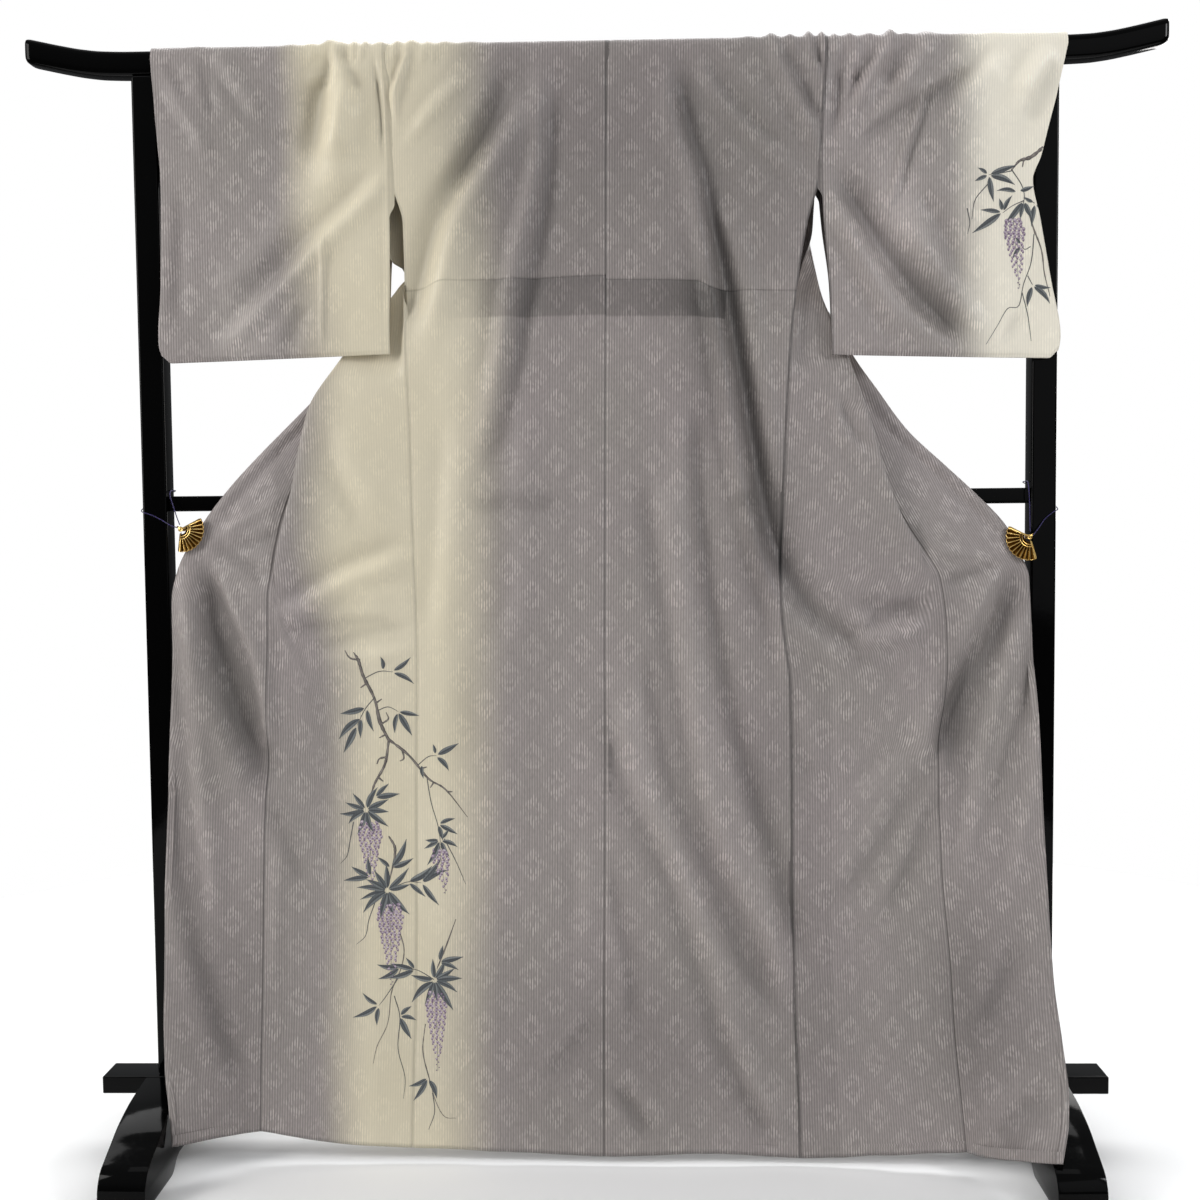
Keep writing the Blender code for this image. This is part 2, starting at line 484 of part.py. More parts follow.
def sleeve(s, name):
    inner, outer = SLEEVE_BOTTOM[s]
    cut = (SHOULDER_Z - WRIST_END[s]) / (SHOULDER_Z - outer - CUFF_CORNER)
    levels = [0, cut * 0.28, cut * 0.55, cut * 0.8, cut] + [cut + (1 - cut) * q for q in (0.2, 0.42, 0.64, 0.84, 0.965, 1.0)]
    closes_at = 4
    rings = [sleeve_ring(s, a, levels, TURNS) for a in STATIONS]
    n, last = len(levels), len(STATIONS) - 1
    size = len(rings[0])

    def vertex(j, i):
        i %= size
        if j == last and n - 1 < i <= 2 * (n - 1) - closes_at:
            i = 2 * (n - 1) - i                        # the layer behind shares the seam's points
        return j * size + i

    points = [p for ring in rings for p in ring]
    faces = []
    for j in range(last):
        for i in range(size):
            quad = [vertex(j, i), vertex(j, i + 1), vertex(j + 1, i + 1), vertex(j + 1, i)]
            faces.append(tuple(quad))
    if s < 0:
        faces = [f[::-1] for f in faces]
    return cloth(name, points, faces)


sleeve(-1, "sleeve_left")
sleeve(1, "sleeve_right")


# ---- collar: turned in along the front edges, round the neck behind the bar
COLLAR_Z = (87, 91, 95, 99, 103, 107, 111, 115, 118.4, 122, 126, 129.4, 132, 136.5, 140, 145, 150, 155, 159, 162.3)
COLLAR_LIFT = 0.38
NECK_Z, NECK_Y = 163.75, 2.75


def under_layer_y(s, x, z):
    """Depth of the hindmost layer that the collar lies on."""
    z = min(z, SHOULDER_Z)
    depths = []
    for row in (front_row(s, z, np.linspace(1.9, 3, 40)), okumi_row(s, z, np.linspace(0, 1, 12))):
        order = np.argsort(row[:, 0])
        xs, ys = row[order, 0], row[order, 1]
        if xs[0] - 0.8 <= x <= xs[-1] + 0.8:
            depths.append(float(np.interp(x, xs, ys)))
    return max(depths) if depths else None


def collar():
    across = (0.02, 0.35, 0.68, 1.0)
    sides = {}
    for s in (-1, 1):
        c = front_of[s]
        part = []
        for z in COLLAR_Z:
            x, y = float(c["x3"](z)), float(c["y3"](z))
            tx, tz = float(c["x3"](z + 1.5)) - float(c["x3"](z - 1.5)), 3.0
            length = math.hypot(tx, tz)
            inward = (-s * tz / length, s * tx / length)   # across the band, towards the body and down
            row, last = [], y
            for q in across:
                px, pz = x + inward[0] * COLLAR_WIDTH * q, z + inward[1] * COLLAR_WIDTH * q
                under = under_layer_y(s, px, pz)
                last = last if under is None else max(under, last - 0.5)
                row.append((px, last + COLLAR_LIFT, pz))
            part.append((row, inward))
        sides[s] = part
    (first, lead), (final, trail) = sides[-1][-1], sides[1][-1]
    xl, xr = first[0][0], final[0][0]
    neck = []
    for t in (0.05, 0.14, 0.3, 0.5, 0.7, 0.86, 0.95):
        x = xl + (xr - xl) * t
        turn = float(smooth(min(t, 1 - t) / 0.3))
        own = lead if t < 0.5 else trail
        dx, dz = own[0] * (1 - turn), own[1] * (1 - turn) - turn
        length = math.hypot(dx, dz)
        z = COLLAR_Z[-1] + (NECK_Z - COLLAR_Z[-1]) * float(smooth(min(t, 1 - t) / 0.16)) ** 0.7
        ends = first if t < 0.5 else final
        neck.append([
            (x + dx / length * COLLAR_WIDTH * q, ends[i][1] * (1 - turn) + (NECK_Y + 0.15 * q) * turn, z + dz / length * COLLAR_WIDTH * q)
            for i, q in enumerate(across)
        ])
    rows = [row for row, _ in sides[-1]] + neck + [row for row, _ in reversed(sides[1])]
    points = [p for row in rows for p in row]
    return cloth("collar", points, grid_faces(len(rows), 4), COLLAR_WALL, SILK_LIGHT)


collar()


# ---------------------------------------------------------------- the stand
def prism_x(name, section, stations, finish, bevel=0.0):
    """A bar along X through level-lifted copies of one section: section is [(y, z)], stations [(x, lift, lean)]."""
    points = [(x + lean * (0.5 - q), y, z + lift) for x, lift, lean in stations for (y, z, q) in section]
    n = len(section)
    faces = [
        (j * n + i, (j + 1) * n + i, (j + 1) * n + (i + 1) % n, j * n + (i + 1) % n)
        for j in range(len(stations) - 1)
        for i in range(n)
    ]
    faces.append(tuple(range(n)))
    faces.append(tuple(reversed(range((len(stations) - 1) * n, len(stations) * n))))
    obj = mesh_from(name, points, faces, finish, 35)
    return obj


def fix_normals(obj):
    bm = bmesh.new()
    bm.from_mesh(obj.data)
    bmesh.ops.recalc_face_normals(bm, faces=bm.faces)
    bm.to_mesh(obj.data)
    bm.free()
    return obj


def top_bar():
    half, height, chamfer = BAR_DEPTH / 2, BAR_TOP - BAR_BOTTOM, 0.62
    section = []
    for y, z in (
        (-half, BAR_BOTTOM + chamfer), (-half + chamfer, BAR_BOTTOM), (half - chamfer, BAR_BOTTOM), (half, BAR_BOTTOM + chamfer),
        (half, BAR_TOP - chamfer), (half - chamfer, BAR_TOP), (-half + chamfer, BAR_TOP), (-half, BAR_TOP - chamfer),
    ):
        section.append((y, z, (z - BAR_BOTTOM) / height))
    lift = columns(BAR_END)["lift"]
    xs = [70, 72, 74, 76, 78, 80, 82, BAR_HALF - 0.5]
    stations = [(-x, float(lift(x)), 0.0) for x in reversed(xs)] + [(x, float(lift(x)), 0.0) for x in xs]
    stations = [(-BAR_HALF + 0.4, float(lift(BAR_HALF)), 0.8)] + stations[1:-1] + [(BAR_HALF - 0.4, float(lift(BAR_HALF)), -0.8)]
    return fix_normals(prism_x("top_bar", section, stations, LACQUER))


top_bar()


def block(name, low, high, bevel):
    bm = bmesh.new()
    bmesh.ops.create_cube(bm, size=1.0)
    for v in bm.verts:
        v.co = [((low[i] + high[i]) / 2 + v.co[i] * (high[i] - low[i])) * CM for i in range(3)]
    mesh = bpy.data.meshes.new(name)
    bm.to_mesh(mesh)
    bm.free()
    obj = link(name, mesh, LACQUER)
    if bevel:
        edge = obj.modifiers.new("edges", "BEVEL")
        edge.width = bevel * CM
        edge.segments = 2
        edge.limit_method = "ANGLE"
    return obj


for s, tag in ((-1, "left"), (1, "right")):
    x0, h = s * UPRIGHT_X, UPRIGHT_SIDE / 2
    block("upright_" + tag, (x0 - h, -h, BASE_TOP + JOINT_GAP), (x0 + h, h, BAR_BOTTOM - JOINT_GAP), 0.35)
reach = UPRIGHT_X - UPRIGHT_SIDE / 2 - JOINT_GAP
rail = (RAIL_TOP - RAIL_BOTTOM) / 2
block("mid_rail", (-reach, -rail, RAIL_BOTTOM), (reach, rail, RAIL_TOP), 0.2)
block("base_rail", (-BASE_HALF, -BASE_DEPTH / 2, BASE_BOTTOM), (BASE_HALF, BASE_DEPTH / 2, BASE_TOP), 0.15)


def foot(s, name):
    """The foot's side outline, notched on top for the base rail, as a board across it."""
    slot = BASE_DEPTH / 2 + JOINT_GAP
    top = [(y, z) for y, z in FOOT_TOP[1:]]
    top[0] = (slot, top[0][1])
    arch = [(y, z) for y, z in FOOT_ARCH[1:]]
    near = top + arch
    outline = near + [(-y, z) for y, z in reversed(near[:-1])] + [(-slot, BASE_BOTTOM - JOINT_GAP), (slot, BASE_BOTTOM - JOINT_GAP)]
    x0 = s * UPRIGHT_X
    points = [(x0 - FOOT_WIDTH / 2, y, z) for y, z in outline] + [(x0 + FOOT_WIDTH / 2, y, z) for y, z in outline]
    n = len(outline)
    faces = [(i, (i + 1) % n, n + (i + 1) % n, n + i) for i in range(n)] + [tuple(reversed(range(n))), tuple(range(n, 2 * n))]
    return fix_normals(mesh_from(name, points, faces, LACQUER, 30))


foot(-1, "foot_left")
foot(1, "foot_right")


# ---------------------------------------------------------------- fan clips and their cords
def fan_clip(s, name):
    """A folding fan of zigzag ribs in front of the cloth, joined at the pivot to a flat jaw behind it."""
    px, pz, a0, a1 = FAN[s]
    steps = FAN_PLEATS * 2
    angles = [math.radians(a0 + (a1 - a0) * i / steps) for i in range(steps + 1)]
    if s > 0:
        angles = angles[::-1]
    points, faces = [], []
    radii = (0.35, 1.3, FAN_REACH)
    for side in (0, 1):
        for j, r in enumerate(radii):
            for i, a in enumerate(angles):
                pleat = (0.10 if i % 2 else -0.10) * (r / FAN_REACH)
                points.append((px + r * math.cos(a), FAN_Y + pleat - FAN_WALL * (0.5 - side), pz + r * math.sin(a)))
    n, m = len(angles), len(radii)

    def v(side, j, i):
        return (side * m + j) * n + i

    for j in range(m - 1):
        for i in range(n - 1):
            faces.append((v(0, j, i), v(0, j + 1, i), v(0, j + 1, i + 1), v(0, j, i + 1)))
            faces.append((v(1, j, i), v(1, j, i + 1), v(1, j + 1, i + 1), v(1, j + 1, i)))
    for i in range(n - 1):
        faces.append((v(0, 0, i), v(0, 0, i + 1), v(1, 0, i + 1), v(1, 0, i)))
        faces.append((v(0, m - 1, i), v(1, m - 1, i), v(1, m - 1, i + 1), v(0, m - 1, i + 1)))
    for j in range(m - 1):
        faces.append((v(0, j, 0), v(1, j, 0), v(1, j + 1, 0), v(0, j + 1, 0)))
        faces.append((v(0, j, n - 1), v(0, j + 1, n - 1), v(1, j + 1, n - 1), v(1, j, n - 1)))
    fan = fix_normals(mesh_from(name, points, faces, GILT, 20))

    def helper(label, verts, quads):
        extra = fix_normals(mesh_from(label, verts, quads, GILT))
        extra.hide_render = True
        extra.display_type = "WIRE"
        union = fan.modifiers.new(label, "BOOLEAN")
        union.operation = "UNION"
        union.solver = "EXACT"
        union.object = extra
        return extra

    def disc(label, cx, cz, r, y0, y1, sides=14):
        ring = [(cx + r * math.cos(2 * math.pi * i / sides), cz + r * math.sin(2 * math.pi * i / sides)) for i in range(sides)]
        verts = [(x, y0, z) for x, z in ring] + [(x, y1, z) for x, z in ring]
        quads = [(i, (i + 1) % sides, sides + (i + 1) % sides, sides + i) for i in range(sides)]
        quads += [tuple(reversed(range(sides))), tuple(range(sides, 2 * sides))]
        helper(label, verts, quads)

    disc(name + ".pivot", px, pz, 0.46, FAN_Y - 0.20, -1.93)
    mid = math.radians((a0 + a1) / 2)
    ux, uz = math.cos(mid), math.sin(mid)
    wx, wz = -uz, ux
    y0, y1 = -2.03, -1.94
    outline = [(-0.2, -0.5), (2.0, -0.85), (2.0, 0.85), (-0.2, 0.5)]
    verts = [(px + ux * d + wx * w, y, pz + uz * d + wz * w) for y in (y0, y1) for d, w in outline]
    helper(name + ".jaw", verts, [(0, 1, 2, 3), (7, 6, 5, 4), (0, 4, 5, 1), (1, 5, 6, 2), (2, 6, 7, 3), (3, 7, 4, 0)])
    return fan


fan_clip(-1, "fan_clip_left")
fan_clip(1, "fan_clip_right")

# The cords' routes: from the clip's pivot, across the upright, round it, over the rail and back to the pivot.
CORD_WIDTH = 0.15
CORD_ROUTE = {
    -1: ((-62.12, -3.0, 94.5), (-63.3, -2.75, 94.9), (-64.6, -2.25, 95.6), (-66.2, -2.05, 96.4), (-67.4, -2.08, 96.8), (-68.0, -1.5, 97.1), (-68.0, 0.0, 97.7), (-68.0, 1.5, 98.4),
         (-67.4, 2.1, 98.9), (-65.9, 2.15, 99.4), (-64.4, 2.1, 99.9), (-63.75, 1.5, 100.1), (-63.72, 0.0, 100.1), (-63.65, -1.2, 99.9), (-63.45, -1.95, 99.2), (-62.9, -2.4, 97.8), (-62.2, -2.9, 96.0), (-61.75, -3.1, 94.95)),
    1: ((64.02, -3.0, 92.2), (64.9, -2.6, 93.2), (66.0, -2.1, 94.6), (67.2, -2.12, 95.6), (67.98, -1.6, 96.0), (68.0, -0.2, 96.6), (68.0, 1.4, 97.6),
        (67.4, 2.1, 98.4), (65.9, 2.15, 99.2), (64.5, 2.12, 99.8), (63.72, 1.55, 100.1), (63.72, 0.0, 100.2), (63.65, -1.4, 100.0), (63.62, -2.05, 98.9), (63.7, -2.2, 96.8), (63.7, -2.4, 94.6), (63.6, -2.95, 92.75)),
}


def cord(s, name):
    route = np.array(CORD_ROUTE[s], float)
    steps = np.concatenate([[0], np.cumsum(np.linalg.norm(np.diff(route, axis=0), axis=1))])
    curve = bpy.data.curves.new(name, "CURVE")
    curve.dimensions = "3D"
    spline = curve.splines.new("POLY")
    # a Catmull-Rom line through the route's points, read at even steps
    ends = np.concatenate([[2 * route[0] - route[1]], route, [2 * route[-1] - route[-2]]])
    samples = []
    for at in np.linspace(0, steps[-1], 46):
        i = int(min(len(route) - 2, max(0, np.searchsorted(steps, at, side="right") - 1)))
        t = (at - steps[i]) / (steps[i + 1] - steps[i])
        p0, p1, p2, p3 = ends[i : i + 4]
        samples.append(0.5 * (2 * p1 + (p2 - p0) * t + (2 * p0 - 5 * p1 + 4 * p2 - p3) * t**2 + (3 * p1 - p0 - 3 * p2 + p3) * t**3))
    spline.points.add(len(samples) - 1)
    for point, p in zip(spline.points, samples):
        point.co = (*[float(c) * CM for c in p], 1)
    curve.bevel_depth = CORD_WIDTH / 2 * CM
    curve.bevel_resolution = 2
    curve.use_fill_caps = True
    obj = bpy.data.objects.new(name, curve)
    bpy.context.scene.collection.objects.link(obj)
    curve.materials.append(CORD)
    return obj


cord(-1, "clip_cord_left")
cord(1, "clip_cord_right")
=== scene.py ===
# Visual model of an unlined silk kimono hung on its lacquered stand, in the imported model's own frame (metres, +Z up).
# Tables are in centimetres. The cloth is made as thin shells on the same forms as the CAD's solids.
import math

import bmesh
import bpy
import numpy as np
from mathutils import Matrix, Vector
from mathutils.bvhtree import BVHTree


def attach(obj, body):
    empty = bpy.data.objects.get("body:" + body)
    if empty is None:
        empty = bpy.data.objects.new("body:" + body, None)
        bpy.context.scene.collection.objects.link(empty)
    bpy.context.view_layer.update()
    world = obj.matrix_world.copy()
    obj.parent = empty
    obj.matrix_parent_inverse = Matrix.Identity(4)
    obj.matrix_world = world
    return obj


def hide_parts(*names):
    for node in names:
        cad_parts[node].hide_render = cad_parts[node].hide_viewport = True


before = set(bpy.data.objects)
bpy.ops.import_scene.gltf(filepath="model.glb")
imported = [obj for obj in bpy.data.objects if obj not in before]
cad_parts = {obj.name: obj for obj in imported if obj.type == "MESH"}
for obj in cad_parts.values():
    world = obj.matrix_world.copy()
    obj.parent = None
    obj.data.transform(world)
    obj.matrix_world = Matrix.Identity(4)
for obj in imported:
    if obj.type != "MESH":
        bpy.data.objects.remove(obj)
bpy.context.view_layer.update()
CM = 0.01

# ---------------------------------------------------------------- camera, at the photograph's viewing angle
yaw, pitch, roll = math.radians(-1.47), math.radians(3.21), math.radians(-0.55)
look = Vector((math.sin(yaw) * math.cos(pitch), math.cos(yaw) * math.cos(pitch), -math.sin(pitch)))
across = Vector((math.cos(yaw), -math.sin(yaw), 0))
upward = across.cross(look)
right_ = across * math.cos(roll) + upward * math.sin(roll)
up_ = -across * math.sin(roll) + upward * math.cos(roll)
camera_data = bpy.data.cameras.new("camera")
camera_data.sensor_width = 36.0
camera_data.lens = 42.217
camera_data.clip_end = 50
camera = bpy.data.objects.new("camera", camera_data)
bpy.context.scene.collection.objects.link(camera)
place = Matrix((right_, up_, -look)).transposed().to_4x4()
place.translation = Vector((0.0587, -2.1065, 0.949))
camera.matrix_world = place
bpy.context.scene.camera = camera


# ---------------------------------------------------------------- helpers for materials
def new_material(name):
    made = bpy.data.materials.new(name)
    made.use_nodes = True
    return made, made.node_tree, made.node_tree.nodes["Principled BSDF"]


def add(tree, kind, **values):
    node = tree.nodes.new(kind)
    for key, value in values.items():
        if key.startswith("in_"):
            node.inputs[int(key[3:])].default_value = value
        else:
            setattr(node, key, value)
    return node


def maths(tree, operation, a, b=None, c=None, clamp=False):
    node = tree.nodes.new("ShaderNodeMath")
    node.operation = operation
    node.use_clamp = clamp
    for i, value in enumerate((a, b, c)):
        if value is None:
            continue
        if isinstance(value, (int, float)):
            node.inputs[i].default_value = value
        else:
            tree.links.new(value, node.inputs[i])
    return node.outputs[0]


def ramp(tree, value, low, high, to_low=0.0, to_high=1.0):
    node = add(tree, "ShaderNodeMapRange", interpolation_type="SMOOTHSTEP")
    tree.links.new(value, node.inputs[0])
    for i, number in ((1, low), (2, high), (3, to_low), (4, to_high)):
        node.inputs[i].default_value = number
    return node.outputs[0]


def mix_colours(tree, factor, a, b, blend="MIX"):
    node = add(tree, "ShaderNodeMix", data_type="RGBA", blend_type=blend)
    for socket, value in ((node.inputs[0], factor), (node.inputs[6], a), (node.inputs[7], b)):
        if hasattr(value, "is_output") or hasattr(value, "links"):
            tree.links.new(value, socket)
        elif isinstance(value, tuple):
            socket.default_value = (*value, 1.0)
        else:
            socket.default_value = value
    return node.outputs[2]


def linear(r, g, b):
    """sRGB numbers from 0 to 255 as linear light."""
    return tuple(((c / 255) / 12.92 if c / 255 <= 0.04045 else ((c / 255 + 0.055) / 1.055) ** 2.4) for c in (r, g, b))


def vector(tree, x, y, z=0.0):
    node = tree.nodes.new("ShaderNodeCombineXYZ")
    for i, value in enumerate((x, y, z)):
        if isinstance(value, (int, float)):
            node.inputs[i].default_value = value
        else:
            tree.links.new(value, node.inputs[i])
    return node.outputs[0]


def noise(tree, where, scale, detail=2.0, rough=0.5):
    node = add(tree, "ShaderNodeTexNoise")
    node.inputs["Scale"].default_value = scale
    node.inputs["Detail"].default_value = detail
    node.inputs["Roughness"].default_value = rough
    tree.links.new(where, node.inputs["Vector"])
    return node.outputs[0]


def bump(tree, shader, height, distance, strength=1.0):
    node = add(tree, "ShaderNodeBump")
    node.inputs["Strength"].default_value = strength
    node.inputs["Distance"].default_value = distance
    tree.links.new(height, node.inputs["Height"])
    tree.links.new(node.outputs[0], shader.inputs["Normal"])


def place_of(tree):
    """The point on the object, in metres."""
    return add(tree, "ShaderNodeTexCoord").outputs["Object"]


def cord_material():
    made, tree, shader = new_material("twisted_silk_cord")
    where = place_of(tree)
    parts = add(tree, "ShaderNodeSeparateXYZ")
    tree.links.new(where, parts.inputs[0])
    slant = maths(tree, "ADD", maths(tree, "MULTIPLY", parts.outputs[2], 1400.0), maths(tree, "MULTIPLY", maths(tree, "ADD", parts.outputs[0], parts.outputs[1]), 2300.0))
    strand = maths(tree, "MULTIPLY_ADD", maths(tree, "SINE", slant), 0.5, 0.5)
    tree.links.new(mix_colours(tree, strand, linear(15, 8, 46), linear(46, 30, 104)), shader.inputs["Base Color"])
    shader.inputs["Roughness"].default_value = 0.55
    shader.inputs["Sheen Weight"].default_value = 0.08
    bump(tree, shader, strand, 0.0002, 0.8)
    return made


CORD_FINISH = cord_material()

# ---------------------------------------------------------------- cords first: pivot, round the upright, back to the pivot
CORD_WIDTH = 0.15
CORD_ROUTE = {
    -1: ((-62.12, -3.0, 94.5), (-63.3, -2.75, 94.9), (-64.6, -2.25, 95.6), (-66.2, -2.05, 96.4), (-67.4, -2.08, 96.8), (-68.0, -1.5, 97.1), (-68.0, 0.0, 97.7), (-68.0, 1.5, 98.4),
         (-67.4, 2.1, 98.9), (-65.9, 2.15, 99.4), (-64.4, 2.1, 99.9), (-63.75, 1.5, 100.1), (-63.72, 0.0, 100.1), (-63.65, -1.2, 99.9), (-63.45, -1.95, 99.2), (-62.9, -2.4, 97.8), (-62.2, -2.9, 96.0), (-61.75, -3.1, 94.95)),
    1: ((64.02, -3.0, 92.2), (64.9, -2.6, 93.2), (66.0, -2.1, 94.6), (67.2, -2.12, 95.6), (67.98, -1.6, 96.0), (68.0, -0.2, 96.6), (68.0, 1.4, 97.6),
        (67.4, 2.1, 98.4), (65.9, 2.15, 99.2), (64.5, 2.12, 99.8), (63.72, 1.55, 100.1), (63.72, 0.0, 100.2), (63.65, -1.4, 100.0), (63.62, -2.05, 98.9), (63.7, -2.2, 96.8), (63.7, -2.4, 94.6), (63.6, -2.95, 92.75)),
}


def hold(obj, *nodes, slot=None):
    """The piece stands for these CAD nodes and rides on the body."""
    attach(obj, "root")
    if nodes:
        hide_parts(*nodes)
    return obj


def cord_points(s):
    route = np.array(CORD_ROUTE[s], float)
    steps = np.concatenate([[0], np.cumsum(np.linalg.norm(np.diff(route, axis=0), axis=1))])
    ends = np.concatenate([[2 * route[0] - route[1]], route, [2 * route[-1] - route[-2]]])
    samples = []
    for at in np.linspace(0, steps[-1], 90):
        i = int(min(len(route) - 2, max(0, np.searchsorted(steps, at, side="right") - 1)))
        t = (at - steps[i]) / (steps[i + 1] - steps[i])
        p0, p1, p2, p3 = ends[i : i + 4]
        samples.append(0.5 * (2 * p1 + (p2 - p0) * t + (2 * p0 - 5 * p1 + 4 * p2 - p3) * t**2 + (3 * p1 - p0 - 3 * p2 + p3) * t**3))
    return np.array(samples)


for s, tag in ((-1, "left"), (1, "right")):
    samples = cord_points(s)
    curve = bpy.data.curves.new("silk_cord_" + tag, "CURVE")
    curve.dimensions = "3D"
    spline = curve.splines.new("POLY")
    spline.points.add(len(samples) - 1)
    for point, p in zip(spline.points, samples):
        point.co = (*[float(c) * CM for c in p], 1)
    curve.bevel_depth = CORD_WIDTH / 2 * CM
    curve.bevel_resolution = 3
    curve.use_fill_caps = True
    curve.materials.append(CORD_FINISH)
    cord = bpy.data.objects.new("silk_cord_" + tag, curve)
    bpy.context.scene.collection.objects.link(cord)
    hold(cord, "clip_cord_" + tag, slot="purple_cord")

# ---------------------------------------------------------------- driving sizes (cm)
COLLAR_WALL = 0.20      # the collar is a folded band of two layers
COLLAR_WIDTH = 5.5
SEAM = 0.06             # gap left between two pieces at a seam
HEM_NOMINAL = 2.0       # nominal height of the last row of every long panel
HEM_FADE = 40.0         # the hem's own rise and fall dies out at this height

BAR_TOP, BAR_BOTTOM, BAR_DEPTH, BAR_HALF = 164.6, 160.94, 3.6, 83.43
UPRIGHT_X, UPRIGHT_SIDE = 65.89, 3.69
RAIL_TOP, RAIL_BOTTOM = 99.22, 96.95
BASE_HALF, BASE_DEPTH, BASE_TOP, BASE_BOTTOM = 75.98, 5.54, 11.17, 8.53
FOOT_WIDTH = 6.75
JOINT_GAP = 0.03

SHOULDER_Z = 163.0      # where the cloth leaves the straight wall and starts over the bar
OVER_DEPTH, OVER_RISE, OVER_POWER = 2.3, 2.08, 2.6   # the cloth's path over the bar
NECK_FRACTION = 0.727   # share of a back panel's width from its side edge to the side of the neck

# ---------------------------------------------------------------- tables (cm)
# Line of the centre back seam.
CENTRE = (
    ("z", "x", "y"),
    (2, 0.5, -7.9), (12, 0.55, -6.9), (24, 0.65, -5.9), (42, 0.9, -4.9), (60, 1.1, -4.2), (76, 1.2, -3.7),
    (94, 1.4, -3.3), (112, 1.6, -3.0), (130, 1.85, -2.8), (146, 2.0, -2.6), (163, 2.2, -2.3),
)
# Side edges of the back panels: side seam up to the slit under the arm, then the armhole.
SIDE = {
    -1: (
        ("z", "x", "y"),
        (2, -28.1, -7.0), (12, -27.8, -6.3), (24, -27.4, -5.5), (42, -27.1, -4.6), (60, -26.9, -4.0),
        (76, -26.6, -3.7), (94, -27.0, -3.3), (110, -27.3, -3.1), (123, -27.8, -3.0), (129.6, -27.7, -2.9),
        (138.6, -27.8, -2.7), (145.7, -29.6, -2.55), (155, -29.8, -2.4), (163, -30.2, -2.3),
    ),
    1: (
        ("z", "x", "y"),
        (2, 29.4, -7.9), (12, 29.2, -7.0), (24, 28.8, -6.0), (44, 28.6, -4.8), (60, 28.6, -4.2),
        (69.5, 28.5, -3.9), (83, 27.1, -3.6), (98, 27.5, -3.3), (112, 28.2, -3.1), (128, 29.4, -2.9),
        (132.4, 30.0, -2.8), (138.6, 31.4, -2.7), (145.2, 33.1, -2.5), (155, 33.5, -2.4), (163, 34.0, -2.3),
    ),
}
# The fronts' free edges above the side seam, which pass behind the bar.
FREE = {
    -1: (("z", "x", "y"), (126, -27.7, -3.0), (129, -27.7, -2.6), (131.8, -27.7, -1.7), (133.6, -29.9, -1.5), (136, -30.25, -0.9), (138.5, -30.3, -0.25), (141, -30.3, 0.25), (144, -30.2, 0.7), (147, -29.9, 1.1), (151, -29.65, 1.9), (156, -29.8, 2.1), (163, -30.2, 2.3)),
    1: (("z", "x", "y"), (126, 29.3, -3.0), (128, 29.5, -2.8), (132, 30.4, -2.3), (136.5, 32.0, -0.8), (140, 32.5, 1.2), (150, 33.1, 1.9), (156, 33.4, 2.1), (163, 34.0, 2.3)),
}
SLIT = {-1: (127.5, 131.0), 1: (127.0, 130.5)}   # heights over which the front's edge leaves the back's
